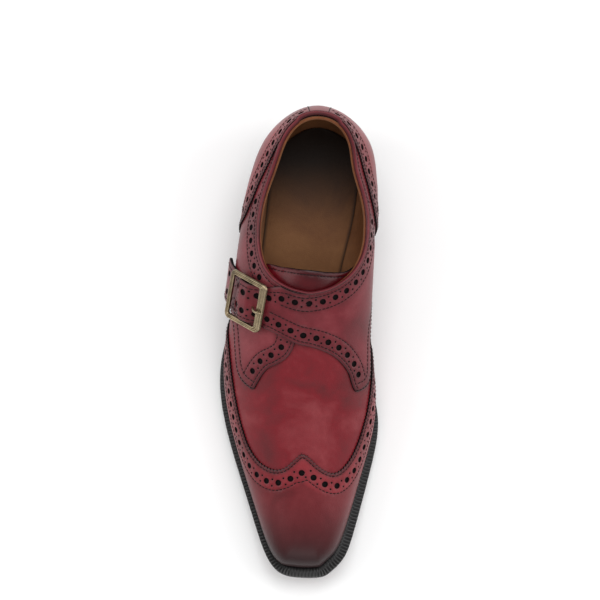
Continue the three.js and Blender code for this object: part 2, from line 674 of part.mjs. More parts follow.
// The strap beyond the crown: its front edge, its rounded end and its back edge.
const STRAP_END = [
  [9.05, 1.38], [9.24, 1.5], [9.41, 1.6], [9.6, 1.7], [9.76, 1.8], [9.9, 1.85], [10.15, 1.88],
  [10.4, 1.88], [10.6, 1.85], [10.68, 1.8], [10.48, 1.7], [10.29, 1.6], [10.11, 1.5], [9.92, 1.38],
  [9.84, 1.28],
];
const COUNTER_MEDIAL = [
  [10.95, -0.1], [11.0, 0.0], [11.2, 0.15], [11.42, 0.28], [11.55, 0.35], [11.95, 0.4],
  [12.65, 0.43], [13.45, 0.47], [14.3, 0.54], [15.1, 0.62],
];
const COUNTER_LATERAL = [
  [10.95, 2.1], [11.0, 2.0], [11.25, 1.86], [11.48, 1.76], [11.6, 1.7], [12.0, 1.62],
  [12.6, 1.58], [13.25, 1.53], [13.95, 1.48], [14.85, 1.39],
];

// Rounds a pattern line with a curve through its points.
function rounded(points, closed = false) {
  const curve = new THREE.CatmullRomCurve3(
    points.map(([row, girth]) => new THREE.Vector3(row, girth * 8, 0)),
    closed,
    "centripetal",
  );
  return curve.getPoints(points.length * 2).map((p) => [p.x, p.y / 8]);
}

const layerBottom = (layer) => SEAM_GAP + layer * (OVERLAY_THICK + SEAM_GAP);
const layerTop = (layer) => layerBottom(layer) + OVERLAY_THICK;

// The wing cap covers the toe and runs back along both sides as wings.
const capCutter = flatCutter([...rounded(WING_EDGE), [-1, 2.1], [-1, -0.1]]);
add(
  "wing_cap",
  wrap(wholeLast.intersect(capCutter), constant(layerBottom(0)), constant(layerTop(0))),
  0x6d2530,
  0.45,
);

// Each quarter reaches from its front edge to the back seam.
const BACK_SEAM = LAST_ROW - 0.02;
const lateralCutter = flatCutter([
  ...rounded(QUARTER_LATERAL_FRONT),
  [throatRow + 0.12, 1.1],
  ...collarLateral.filter(([row, girth]) => girth > 1.1 && row < BACK_SEAM),
  [BACK_SEAM, 1.41],
  [BACK_SEAM, 2.1],
]);
add(
  "quarter_lateral",
  wrap(shell.intersect(lateralCutter), constant(layerBottom(0)), constant(layerTop(0))),
  0x843039,
  0.5,
);

// The inner quarter carries the strap, in one piece with it. Past the crown the strap climbs onto
// the outer quarter, rises over the bar of the buckle, drops again and stands off at its end.
const STRAP_OVER_BAR = 3.9;
const STRAP_END_LIFT = 3.5;
const PRONG_HOLE = { row: 9.42, girth: 1.37, halfRow: 0.07, halfGirth: 0.046 };
function strapLift(row, girth) {
  const onto = smooth(girth, 0.96, 1.08) * (layerBottom(1) - layerBottom(0));
  const over = STRAP_OVER_BAR * (smooth(girth, 1.35, 1.415) - smooth(girth, 1.47, 1.55));
  return onto + over + STRAP_END_LIFT * smooth(girth, 1.62, 1.88);
}
const medialCutter = flatCutter([
  ...rounded(QUARTER_MEDIAL_FRONT),
  ...rounded(STRAP_END),
  ...collarLateral.filter(([row, girth]) => girth < 1.2).reverse(),
  ...collarMedial.filter(([row]) => row < BACK_SEAM),
  [BACK_SEAM, 0.59],
  [BACK_SEAM, -0.1],
]);
const prongHole = [];
for (let k = 0; k < 12; k++) {
  const turn = (k * Math.PI) / 6;
  prongHole.push([
    PRONG_HOLE.row + PRONG_HOLE.halfRow * Math.cos(turn),
    PRONG_HOLE.girth + PRONG_HOLE.halfGirth * Math.sin(turn),
  ]);
}
add(
  "quarter_medial",
  wrap(
    shell.intersect(medialCutter).subtract(flatCutter(prongHole)),
    (row, girth) => layerBottom(0) + strapLift(row, girth),
    (row, girth) =>
      layerTop(0) + strapLift(row, girth) + (STRAP_THICK - OVERLAY_THICK) * smooth(girth, 0.9, 1.1),
  ),
  0x843039,
  0.5,
);

// The counter wraps the heel over both quarters, and reaches up to the opening's edge.
const counterCutter = flatCutter([
  ...rounded(COUNTER_MEDIAL),
  [15.4, 1.0],
  [15.0, 1.0],
  ...rounded(COUNTER_LATERAL).reverse(),
  [10.95, 2.1],
  [LAST_ROW + 2, 2.1],
  [LAST_ROW + 2, -0.1],
]);
add(
  "heel_counter",
  wrap(shell.intersect(counterCutter), constant(layerBottom(1)), constant(layerTop(1))),
  0x6d2530,
  0.45,
);

// The tongue lies inside the throat and stands a little above the strap.
const tongueCutter = flatCutter(
  rounded(
    [
      [8.9, 0.72], [8.9, 1.28], [9.5, 1.36], [10.2, 1.4], [10.42, 1.34], [10.5, 1.2], [10.52, 1.0],
      [10.5, 0.8], [10.42, 0.68], [10.2, 0.61], [9.5, 0.65],
    ],
    true,
  ),
);
const tongueTop = UPPER_WALL + SEAM_GAP;
const TONGUE_SINK = 5; // its free end sinks into the opening by this much
const tongueSink = (row) => TONGUE_SINK * smooth(row, 9.5, 10.5);
add(
  "tongue",
  wrap(
    wholeLast.intersect(tongueCutter),
    (row) => -tongueTop - TONGUE_THICK - tongueSink(row),
    (row) => -tongueTop - tongueSink(row),
  ),
  0x6a1420,
  0.3,
);

// ---- buckle ----

const BUCKLE = { row: 9.59, girth: 1.435 }; // its middle, on the last
const BUCKLE_TURN = 8; // degrees, towards the heel on the outer side
const BUCKLE_LONG = 33; // along the strap
const BUCKLE_TALL = 34; // across the strap
const BUCKLE_FRONT_BAR = 5; // the bar towards the instep
const BUCKLE_BAR = 3.4; // the other three
const BUCKLE_THICK = 2.4;
const BUCKLE_CURVE = 100; // radius to which the frame is bent round the foot
const BUCKLE_LIFT = 5.1; // underside of the frame, above the last
const HINGE_DIAMETER = 2.4;
const HINGE_LIFT = 3.75;
const PRONG_DIAMETER = 1.8;

const buckleMiddle = netPoint(BUCKLE.row, BUCKLE.girth, 0);
const buckleNormal = netPoint(BUCKLE.row, BUCKLE.girth, 1).sub(buckleMiddle).normalize();
const alongFoot = netPoint(BUCKLE.row + 0.3, BUCKLE.girth, 0)
  .sub(netPoint(BUCKLE.row - 0.3, BUCKLE.girth, 0))
  .normalize();
const buckleA = new THREE.Vector3().crossVectors(alongFoot, buckleNormal).normalize();
const buckleB = new THREE.Vector3().crossVectors(buckleNormal, buckleA).normalize();
buckleA.applyAxisAngle(buckleNormal, -THREE.MathUtils.degToRad(BUCKLE_TURN));
buckleB.applyAxisAngle(buckleNormal, -THREE.MathUtils.degToRad(BUCKLE_TURN));

// A point over the strap: a towards the instep, b towards the heel, h off the last.
function overStrap(a, b, h) {
  return buckleMiddle
    .clone()
    .addScaledVector(buckleA, a)
    .addScaledVector(buckleB, b)
    .addScaledVector(buckleNormal, h - (a * a) / (2 * BUCKLE_CURVE));
}

// Corner points of a rounded rectangle, anticlockwise.
function roundedCorners(minA, maxA, minB, maxB, radius, perCorner = 4) {
  const points = [];
  const centres = [
    [maxA - radius, maxB - radius, 0],
    [minA + radius, maxB - radius, 1],
    [minA + radius, minB + radius, 2],
    [maxA - radius, minB + radius, 3],
  ];
  for (const [a, b, quarter] of centres)
    for (let k = 0; k <= perCorner; k++) {
      const turn = ((quarter + k / perCorner) * Math.PI) / 2;
      points.push([a + radius * Math.cos(turn), b + radius * Math.sin(turn)]);
    }
  return points;
}
function closedRing(loops) {
  const positions = [];
  const index = [];
  const n = loops[0].length;
  for (const loop of loops) for (const p of loop) positions.push(p.x, p.y, p.z);
  for (let l = 0; l < loops.length; l++)
    for (let i = 0; i < n; i++) {
      const m = ((l + 1) % loops.length) * n;
      const j = (i + 1) % n;
      index.push(l * n + i, l * n + j, m + j, l * n + i, m + j, m + i);
    }
  const g = new THREE.BufferGeometry();
  g.setAttribute("position", new THREE.Float32BufferAttribute(positions, 3));
  g.setIndex(index);
  return cleaned(g);
}
function rodThrough(points, diameter, steps) {
  const path = new THREE.CatmullRomCurve3(points);
  const around = 8;
  const side = buckleB;
  const positions = [];
  const index = [];
  for (let i = 0; i <= steps; i++) {
    const t = i / steps;
    const tangent = path.getTangentAt(t);
    const other = new THREE.Vector3().crossVectors(tangent, side).normalize();
    const square = new THREE.Vector3().crossVectors(other, tangent).normalize();
    const centre = path.getPointAt(t);
    for (let k = 0; k < around; k++) {
      const turn = (2 * Math.PI * k) / around;
      const p = centre
        .clone()
        .addScaledVector(square, (Math.cos(turn) * diameter) / 2)
        .addScaledVector(other, (Math.sin(turn) * diameter) / 2);
      positions.push(p.x, p.y, p.z);
    }
  }
  for (let i = 0; i < steps; i++)
    for (let k = 0; k < around; k++) {
      const [a, b] = [i * around + k, i * around + ((k + 1) % around)];
      index.push(a, b, b + around, a, b + around, a + around);
    }
  for (let k = 1; k < around - 1; k++) {
    index.push(0, k + 1, k);
    const end = steps * around;
    index.push(end, end + k, end + k + 1);
  }
  const g = new THREE.BufferGeometry();
  g.setAttribute("position", new THREE.Float32BufferAttribute(positions, 3));
  g.setIndex(index);
  return cleaned(g);
}

const halfLong = BUCKLE_LONG / 2;
const halfTall = BUCKLE_TALL / 2;
const outerCorners = roundedCorners(-halfLong, halfLong, -halfTall, halfTall, 4);
const innerCorners = roundedCorners(
  -halfLong + BUCKLE_BAR,
  halfLong - BUCKLE_FRONT_BAR,
  -halfTall + BUCKLE_BAR,
  halfTall - BUCKLE_BAR,
  1.2,
);
const lowFrame = BUCKLE_LIFT;
const highFrame = BUCKLE_LIFT + BUCKLE_THICK;
const frame = toSolid(
  closedRing([
    outerCorners.map(([a, b]) => overStrap(a, b, lowFrame)),
    outerCorners.map(([a, b]) => overStrap(a, b, highFrame)),
    innerCorners.map(([a, b]) => overStrap(a, b, highFrame)),
    innerCorners.map(([a, b]) => overStrap(a, b, lowFrame)),
  ]),
);
const hingeReach = halfTall - BUCKLE_BAR / 2;
const hinge = new THREE.CylinderGeometry(HINGE_DIAMETER / 2, HINGE_DIAMETER / 2, hingeReach * 2, 10);
hinge.applyQuaternion(
  new THREE.Quaternion().setFromUnitVectors(new THREE.Vector3(0, 1, 0), buckleB),
);
hinge.translate(...overStrap(0, 0, HINGE_LIFT).toArray());
add("buckle_frame", toGeometry(frame.add(toSolid(hinge))), 0x8a6f45, 0.35, 0.9);

const holePlace = netPoint(PRONG_HOLE.row, PRONG_HOLE.girth, 0).sub(buckleMiddle);
const prongB = holePlace.dot(buckleB);
const prongOver = highFrame + SEAM_GAP * 1.6 + PRONG_DIAMETER / 2;
add(
  "buckle_prong",
  rodThrough(
    [
      overStrap(HINGE_DIAMETER / 2 + SEAM_GAP + PRONG_DIAMETER / 2, prongB, HINGE_LIFT - 0.6),
      overStrap(holePlace.dot(buckleA), prongB, HINGE_LIFT + 1.1),
      overStrap(halfLong - BUCKLE_FRONT_BAR, prongB, prongOver),
      overStrap(halfLong + 0.8, prongB, prongOver - 0.1),
    ],
    PRONG_DIAMETER,
    8,
  ),
  0x8a6f45,
  0.35,
  0.9,
);

// The shoe stands centred over the origin.
const box = new THREE.Box3().setFromObject(group);
const middle = box.getCenter(new THREE.Vector3());
for (const mesh of group.children) mesh.geometry.translate(-middle.x, -middle.y, 0);

export default group;
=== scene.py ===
import bmesh
import bpy
import math
import numpy as np
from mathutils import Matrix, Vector
from mathutils.geometry import delaunay_2d_cdt
from mathutils.kdtree import KDTree


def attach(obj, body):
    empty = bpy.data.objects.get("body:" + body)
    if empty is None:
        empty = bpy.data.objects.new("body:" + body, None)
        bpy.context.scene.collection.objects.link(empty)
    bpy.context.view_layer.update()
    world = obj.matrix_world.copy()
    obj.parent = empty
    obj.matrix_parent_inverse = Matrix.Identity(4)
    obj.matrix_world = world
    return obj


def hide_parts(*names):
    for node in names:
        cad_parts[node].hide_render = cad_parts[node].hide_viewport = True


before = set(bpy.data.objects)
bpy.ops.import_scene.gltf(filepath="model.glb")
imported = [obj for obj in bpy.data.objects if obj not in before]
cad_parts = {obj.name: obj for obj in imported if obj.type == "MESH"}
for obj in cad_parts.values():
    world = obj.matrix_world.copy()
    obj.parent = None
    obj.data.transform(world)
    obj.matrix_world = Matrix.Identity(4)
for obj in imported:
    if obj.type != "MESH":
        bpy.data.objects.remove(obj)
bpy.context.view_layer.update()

# Camera, floor and light. The photograph looks down on the shoe from a little in front of its toe,
# with the shoe turned two degrees clockwise. The floor is plain and pale, and the light is soft,
# from wide panels above, at both sides and in front of the toe.
CAMERA_PLACE = (0.00645, -0.1887, 1.683)
CAMERA_TILT = 7.5
CAMERA_TURN = 2.12
CAMERA_LENS = 150.2
FLOOR_REACH = 6
camera_data = bpy.data.cameras.new("camera")
camera_data.lens = CAMERA_LENS
camera_data.clip_end = 20
camera = bpy.data.objects.new("camera", camera_data)
camera.location = CAMERA_PLACE
camera.rotation_euler = (math.radians(CAMERA_TILT), 0, math.radians(CAMERA_TURN))
bpy.context.collection.objects.link(camera)
bpy.context.scene.camera = camera


def dye(red, green, blue):
    """A colour as the eye reads it, 0 to 255, as the shader takes it."""
    shares = [value / 255 for value in (red, green, blue)]
    return (*[s / 12.92 if s <= 0.04045 else ((s + 0.055) / 1.055) ** 2.4 for s in shares], 1)


def set_inputs(node, values):
    """Plain numbers and colours on a node's inputs."""
    for socket, value in values.items():
        node.inputs[socket].default_value = value


def new_finish(name, values):
    """A new finish, with the plain numbers and colours of its shader."""
    finish = bpy.data.materials.new(name)
    finish.use_nodes = True
    set_inputs(finish.node_tree.nodes["Principled BSDF"], values)
    return finish


floor_corners = [(x * FLOOR_REACH, y * FLOOR_REACH, 0) for x, y in ((-1, -1), (1, -1), (1, 1), (-1, 1))]
floor_mesh = bpy.data.meshes.new("floor")
floor_mesh.from_pydata(floor_corners, [], [(0, 1, 2, 3)])
floor = bpy.data.objects.new("floor", floor_mesh)
bpy.context.collection.objects.link(floor)
floor_mesh.materials.append(new_finish(
    "floor_paper", {"Base Color": dye(250, 250, 250), "Roughness": 0.9, "Specular IOR Level": 0.1}))

LIGHTS = [
    # name, place, aimed at, width, length, watts
    ("light_above", (0.15, 0.75, 1.9), (0, 0, 0), 1.5, 1.5, 18.5),
    ("light_outer_side", (-1.3, 0.1, 0.75), (0, 0, 0.04), 0.8, 1.6, 8.6),
    ("light_inner_side", (1.3, 0.1, 0.75), (0, 0, 0.04), 0.8, 1.6, 8.6),
    ("light_toe", (0.1, -1.5, 0.9), (0, -0.1, 0.03), 1.6, 0.7, 5.4),
]
for name, place, target, width, length, watts in LIGHTS:
    light_data = bpy.data.lights.new(name, "AREA")
    light_data.shape = "RECTANGLE"
    light_data.size = width
    light_data.size_y = length
    light_data.energy = watts
    light = bpy.data.objects.new(name, light_data)
    light.location = place
    light.rotation_euler = (Vector(target) - Vector(place)).to_track_quat("-Z", "Y").to_euler()
    bpy.context.collection.objects.link(light)
world = bpy.data.worlds.new("studio")
world.use_nodes = True
set_inputs(world.node_tree.nodes["Background"], {"Color": (1, 1, 1, 1), "Strength": 0.5})
bpy.context.scene.world = world
bpy.context.scene.view_settings.view_transform = "Standard"

# Sock and insole. The insole is a leather board cut to the last's underside, which the upper is
# pulled round. The full-length sock glued over it is tan-brown calf, its tones set darker as painted
# shade inside the shoe, with more painted shade at the heel end, under the vamp and along both edges.
SOLE_LENGTH = 305
BALL_WIDTH = 108
HEEL_HEIGHT = 24
TOE_SPRING = 13
TOE_REACH = 0.27
WAIST = 0.37
HEEL_SEAT = 0.75
HEEL_PITCH = 1.5
OUTSOLE_THICK = 5
WELT_THICK = 3
WELT_EDGE = 7
LAST_ROW = 16
SHOE_MIDDLE = (-6.453, 154.709)
OUTLINE = np.array([
    # along, lateral, medial, inset lateral, inset medial
    (0.0, -0.01, 0.01, 1.2, 1.2),
    (0.003, 0.094, 0.118, 1.18, 1.24),
    (0.017, 0.167, 0.181, 1.0, 1.3),
    (0.046, 0.226, 0.252, 0.84, 1.28),
    (0.094, 0.283, 0.302, 0.8, 1.2),
    (0.168, 0.357, 0.353, 0.8, 1.14),
    (0.257, 0.446, 0.409, 0.8, 1.06),
    (0.352, 0.525, 0.437, 0.8, 0.92),
    (0.447, 0.555, 0.36, 0.76, 0.62),
    (0.535, 0.506, 0.246, 0.7, 0.46),
    (0.623, 0.418, 0.207, 0.56, 0.42),
    (0.708, 0.373, 0.243, 0.48, 0.42),
    (0.787, 0.354, 0.287, 0.46, 0.44),
    (0.862, 0.335, 0.306, 0.46, 0.46),
    (0.928, 0.288, 0.289, 0.48, 0.48),
    (0.979, 0.17, 0.178, 0.5, 0.5),
    (1.0, 0.0, 0.0, 0.5, 0.5),
])


def through(keys, values):
    """A natural cubic spline through the values, as a function."""
    keys = np.asarray(keys, float)
    values = np.asarray(values, float)
    count = len(keys)
    gaps = np.diff(keys)
    slopes = np.diff(values) / gaps
    system = np.eye(count)
    right = np.zeros(count)
    for i in range(1, count - 1):
        system[i, i - 1] = gaps[i - 1]
        system[i, i] = 2 * (gaps[i - 1] + gaps[i])
        system[i, i + 1] = gaps[i]
        right[i] = 6 * (slopes[i] - slopes[i - 1])
    bend = np.linalg.solve(system, right)

    def at(x):
        x = np.asarray(x, float)
        i = np.clip(np.searchsorted(keys, x, side="right") - 1, 0, count - 2)
        h = gaps[i]
        a = (keys[i + 1] - x) / h
        b = (x - keys[i]) / h
        curve = ((a ** 3 - a) * bend[i] + (b ** 3 - b) * bend[i + 1]) * h * h / 6
        return a * values[i] + b * values[i + 1] + curve

    return at


def round_the_shoe(lateral, medial):
    """A spline over the rows of both sides: lateral on negative rows, medial on positive ones."""
    keys = np.arange(-LAST_ROW - 4, LAST_ROW + 5)
    row = np.where(np.abs(keys) <= LAST_ROW, np.abs(keys), 2 * LAST_ROW - np.abs(keys))
    on_medial = np.where(np.abs(keys) <= LAST_ROW, keys >= 0, keys < 0)
    return through(keys, np.where(on_medial, medial[row], lateral[row]))


def smooth(x, start, end):
    t = np.clip((np.asarray(x, float) - start) / (end - start), 0, 1)
    return t * t * (3 - 2 * t)


outline_x = round_the_shoe(-OUTLINE[:, 1] * BALL_WIDTH, OUTLINE[:, 2] * BALL_WIDTH)
outline_y = round_the_shoe(OUTLINE[:, 0] * SOLE_LENGTH, OUTLINE[:, 0] * SOLE_LENGTH)
feather_inset = round_the_shoe(OUTLINE[:, 3] * WELT_EDGE, OUTLINE[:, 4] * WELT_EDGE)


def outline_point(w, margin):
    """The sole's outline at w, moved inwards by a margin in millimetres."""
    run = outline_x(w + 0.01) - outline_x(w - 0.01)
    climb = outline_y(w + 0.01) - outline_y(w - 0.01)
    length = np.hypot(run, climb)
    return outline_x(w) - climb / length * margin, outline_y(w) + run / length * margin


def tread_height(y):
    """Underside of the outsole over the floor, at a distance from the toe."""
    along = np.asarray(y, float) / SOLE_LENGTH
    toe = TOE_SPRING * (np.clip(TOE_REACH - along, 0, 1) / TOE_REACH) ** 1.7
    seat = HEEL_PITCH * np.clip((along - HEEL_SEAT) / (1 - HEEL_SEAT), 0, 9)
    return toe + HEEL_HEIGHT * smooth(along, WAIST, HEEL_SEAT) + seat


def feather_height(y):
    return tread_height(y) + OUTSOLE_THICK + WELT_THICK


def in_the_frame(points):
    """Shoe millimetres to metres in the part's own frame."""
    return (points - np.array([*SHOE_MIDDLE, 0])) / 1000


def piece(name, points, faces, finishes, finish_of=None, burnish_and_shade=None, weld=False, crisp=40):
    """A named mesh from points in shoe millimetres, which rides with the shoe."""
    mesh = bpy.data.meshes.new(name)
    mesh.from_pydata(in_the_frame(np.asarray(points, float)).tolist(), [], faces)
    for finish in finishes:
        mesh.materials.append(finish)
    if finish_of is not None:
        mesh.polygons.foreach_set("material_index", np.asarray(finish_of, np.int32))
    if burnish_and_shade is not None:
        layer = mesh.attributes.new("burnish_and_shade", "FLOAT", "POINT")
        layer.data.foreach_set("value", np.asarray(burnish_and_shade, np.float32))
    shape = bmesh.new()
    shape.from_mesh(mesh)
    if weld:
        bmesh.ops.remove_doubles(shape, verts=shape.verts, dist=2e-6)
        bmesh.ops.dissolve_degenerate(shape, edges=shape.edges, dist=1e-7)
    bmesh.ops.recalc_face_normals(shape, faces=shape.faces)
    shape.to_mesh(mesh)
    shape.free()
    mesh.polygons.foreach_set("use_smooth", [True] * len(mesh.polygons))
    mesh.set_sharp_from_angle(angle=math.radians(crisp))
    made = bpy.data.objects.new(name, mesh)
    bpy.context.collection.objects.link(made)
    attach(made, "root")
    return made


def net(rows, across, closed_rows=False, closed_across=False, start=0):
    """The quads of a grid of points kept row by row."""
    faces = []
    for i in range(rows if closed_rows else rows - 1):
        below = i * across
        above = (i + 1) % rows * across
        for j in range(across if closed_across else across - 1):
            k = (j + 1) % across
            faces.append((start + below + j, start + below + k, start + above + k, start + above + j))
    return faces


def add_node(finish, kind, values, wires):
    """A node of a finish, its numbers set and its inputs wired to other nodes' outputs."""
    node = finish.node_tree.nodes.new("ShaderNode" + kind)
    set_inputs(node, values)
    for socket, source in wires.items():
        finish.node_tree.links.new(source, node.inputs[socket])
    return node


def toned(finish, source, tones):
    """A colour for each height of a noise, from pairs of height and colour."""
    ramp = add_node(finish, "ValToRGB", {}, {"Fac": source})
    elements = ramp.color_ramp.elements
    for element, (height, colour) in zip(elements, (tones[0], tones[-1])):
        element.position = height
        element.color = colour
    for height, colour in tones[1:-1]:
        elements.new(height).color = colour
    return ramp.outputs["Color"]


def laid_over(finish, under, colour, share):
    """A colour laid over another one, by a share."""
    mix = finish.node_tree.nodes.new("ShaderNodeMix")
    mix.data_type = "RGBA"
    mix.inputs["B"].default_value = colour
    finish.node_tree.links.new(under, mix.inputs["A"])
    finish.node_tree.links.new(share, mix.inputs["Factor"])
    return mix.outputs["Result"]


def wire_shader(finish, colour, roughness, normal):
    """The parts of a finish that vary over the surface, wired to its shader."""
    shader = finish.node_tree.nodes["Principled BSDF"]
    for socket, source in (("Base Color", colour), ("Roughness", roughness), ("Normal", normal)):
        finish.node_tree.links.new(source, shader.inputs[socket])


def leather(name, deep, middle, light, burnish_and_shade_colour, gloss, cloud=26, grain=0.25, coat=0.2, pores=1500):
    """Aniline calf: a clouded hand-rubbed dye and fine grain, mixed towards a near-black by an attribute
    that holds rubbed edges and painted shade.
    """
    finish = new_finish(name, {"Coat Weight": coat, "Coat Roughness": 0.3, "Specular IOR Level": 0.24})
    place = {"Vector": add_node(finish, "TexCoord", {}, {}).outputs["Object"]}
    cloudy = {"Scale": cloud, "Detail": 5, "Roughness": 0.55, "Distortion": 0.4}
    clouds = add_node(finish, "TexNoise", cloudy, place).outputs["Fac"]
    rubbed = toned(finish, clouds, ((0.36, deep), (0.5, middle), (0.66, light)))
    flecks = add_node(finish, "TexNoise", {"Scale": 260, "Detail": 4}, place).outputs["Fac"]
    fleck_range = {"From Min": 0.3, "From Max": 0.75, "To Min": 0.0, "To Max": 0.22}
    fleck_share = add_node(finish, "MapRange", fleck_range, {"Value": flecks}).outputs["Result"]
    flecked = laid_over(finish, rubbed, deep, fleck_share)
    # The burnish_and_shade attribute darkens rubbed edges and also carries painted shade in seams, holes,
    # grooves and hollows.
    edge = add_node(finish, "Attribute", {}, {})
    edge.attribute_name = "burnish_and_shade"
    burnished_and_shaded = laid_over(finish, flecked, burnish_and_shade_colour, edge.outputs["Fac"])
    worn = add_node(finish, "MapRange", {"To Min": gloss - 0.07, "To Max": gloss + 0.1}, {"Value": clouds})
    hide = add_node(finish, "TexVoronoi", {"Scale": pores}, place).outputs["Distance"]
    ripple = add_node(finish, "TexNoise", {"Scale": 120, "Detail": 6}, place).outputs["Fac"]
    relief = add_node(finish, "Mix", {"Factor": 0.45}, {"A": ripple, "B": hide}).outputs["Result"]
    bump = add_node(finish, "Bump", {"Strength": grain, "Distance": 0.0004}, {"Height": relief})
    wire_shader(finish, burnished_and_shaded, worn.outputs["Result"], bump.outputs["Normal"])
    return finish


SOCK_STEPS = 160
SOCK_ACROSS = 24
SOCK_LIFT = 3
SOCK_EDGE_GAP = 2.3
INSOLE_DEPTH = 2
# The sock's tones are set darker than the bare calf, as painted shade inside the shoe; its near-black mix
# colour is the painted shade below.
sock_leather_in_shade = leather(
    "sock_leather_in_shade", dye(98, 60, 33), dye(116, 74, 42), dye(128, 86, 52), dye(13, 8, 5), 0.62, grain=0.3,
    coat=0.0)
sock_row, sock_share = np.meshgrid(
    np.linspace(0.02, LAST_ROW - 0.02, SOCK_STEPS), np.arange(SOCK_ACROSS + 1) / SOCK_ACROSS, indexing="ij")
outer_x, outer_y = outline_point(-sock_row, feather_inset(-sock_row) + SOCK_EDGE_GAP)
inner_x, inner_y = outline_point(sock_row, feather_inset(sock_row) + SOCK_EDGE_GAP)
sock_x = outer_x * (1 - sock_share) + inner_x * sock_share
sock_y = outer_y * (1 - sock_share) + inner_y * sock_share
off_middle = np.abs(2 * sock_share - 1)
edge_drop = 0.5 * off_middle ** 8
dish = 0.8 * (1 - off_middle ** 2) * smooth(sock_row, 11, 13)
sock_z = feather_height(sock_y) + SOCK_LIFT - edge_drop - dish
# Painted shade: at the heel end, under the vamp, and a dark line along both edges where the sock meets the
# wall.
heel_end_shade = smooth(sock_y, 222, 282) * 0.95
forefoot = (1 - smooth(sock_y, 145, 185)) * 0.5
rim = 0.9 * off_middle ** 60
sock_painted_shade = np.maximum(np.maximum(heel_end_shade, forefoot), rim).ravel().tolist()
top_count = sock_x.size
sock_levels = (sock_z, feather_height(sock_y) - INSOLE_DEPTH)
sock_points = np.concatenate([np.stack([sock_x, sock_y, z], -1).reshape(-1, 3) for z in sock_levels])
sock_faces = net(SOCK_STEPS, SOCK_ACROSS + 1)
sock_faces += [tuple(k + top_count for k in reversed(face)) for face in net(SOCK_STEPS, SOCK_ACROSS + 1)]
for i in range(SOCK_STEPS - 1):
    for j in (0, SOCK_ACROSS):
        here = i * (SOCK_ACROSS + 1) + j
        ahead = here + SOCK_ACROSS + 1
        sock_faces.append((here, ahead, ahead + top_count, here + top_count))
sock = piece("sock_and_insole", sock_points, sock_faces, [sock_leather_in_shade], burnish_and_shade=sock_painted_shade * 2)
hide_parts("insole")

# Vamp and lining. The vamp is burgundy calf pulled over the last and the lining is thin tan calf
# glued inside it, so the two make one hollow wall 2.2 mm thick, open at the ankle and underneath.
# The lining's tan is set darker, as painted shade inside the shoe.
UPPER_WALL = 2.2
INSTEP_HEIGHT = 87
TOPLINE_HEIGHT = 91
FEATHER_GAP = 0.7
THROAT = 0.588
LAST = np.array([
    # spine, offset, crown, swell lateral, swell medial, rise, full lateral, full medial
    (0.112, 0.01, 0.47, 0.018, 0.018, 0.72, 0.5, 0.5),
    (0.116, 0.01, 0.473, 0.02, 0.02, 0.72, 0.52, 0.52),
    (0.126, 0.01, 0.48, 0.025, 0.025, 0.7, 0.56, 0.56),
    (0.146, 0.01, 0.492, 0.03, 0.03, 0.68, 0.6, 0.6),
    (0.178, 0.01, 0.51, 0.035, 0.035, 0.64, 0.62, 0.62),
    (0.226, 0.01, 0.54, 0.04, 0.04, 0.6, 0.62, 0.62),
    (0.29, 0.008, 0.59, 0.045, 0.05, 0.58, 0.6, 0.6),
    (0.366, 0.005, 0.665, 0.05, 0.09, 0.53, 0.58, 0.65),
    (0.45, 0.0, 0.77, 0.07, 0.19, 0.45, 0.6, 0.8),
    (0.536, -0.01, 0.89, 0.16, 0.33, 0.36, 0.64, 1.0),
    (0.622, -0.02, 1.05, 0.27, 0.38, 0.3, 0.68, 1.25),
    (0.704, -0.025, 1.19, 0.34, 0.32, 0.28, 0.3, 1.1),
    (0.772, -0.02, 1.27, 0.32, 0.29, 0.27, 0.12, 0.55),
    (0.822, -0.01, 1.3, 0.26, 0.25, 0.26, 0.12, 0.16),
    (0.852, 0.0, 1.32, 0.2, 0.19, 0.26, 0.38, 0.34),
    (0.868, 0.0, 1.33, 0.15, 0.14, 0.26, 0.7, 0.7),
    (0.874, 0.0, 1.33, 0.14, 0.14, 0.26, 0.82, 0.82),
])
TOPLINE = np.array([
    # along, height
    (0.5, 1.02),
    (0.58, 0.965),
    (0.64, 0.89),
    (0.72, 0.845),
    (0.8, 0.855),
    (0.88, 0.915),
    (0.96, 0.995),
    (1.04, 1.05),
])
CREASES = [
    # row at the middle, bow, middle girth, half girth, width in rows, depth
    (6.25, 0.5, 1.02, 0.42, 0.17, 0.28),
    (6.85, 0.8, 0.98, 0.48, 0.15, 0.34),
    (7.45, 1.1, 1.03, 0.42, 0.16, 0.3),
    (8.1, 0.3, 1.0, 0.3, 0.14, 0.22),
    (11.3, 0.2, 0.34, 0.2, 0.22, 0.5),
    (11.7, 0.2, 1.68, 0.2, 0.22, 0.5),
    (12.3, 0.2, 0.3, 0.16, 0.2, 0.35),
]
spine_y = round_the_shoe(LAST[:, 0] * SOLE_LENGTH, LAST[:, 0] * SOLE_LENGTH)
spine_x = round_the_shoe(LAST[:, 1] * BALL_WIDTH, LAST[:, 1] * BALL_WIDTH)
crown_z = round_the_shoe(LAST[:, 2] * INSTEP_HEIGHT, LAST[:, 2] * INSTEP_HEIGHT)
swell = round_the_shoe(LAST[:, 3] * BALL_WIDTH, LAST[:, 4] * BALL_WIDTH)
rise = round_the_shoe(LAST[:, 5], LAST[:, 5])
full = round_the_shoe(LAST[:, 6], LAST[:, 7])
topline_z = through(TOPLINE[:, 0] * SOLE_LENGTH, TOPLINE[:, 1] * TOPLINE_HEIGHT)


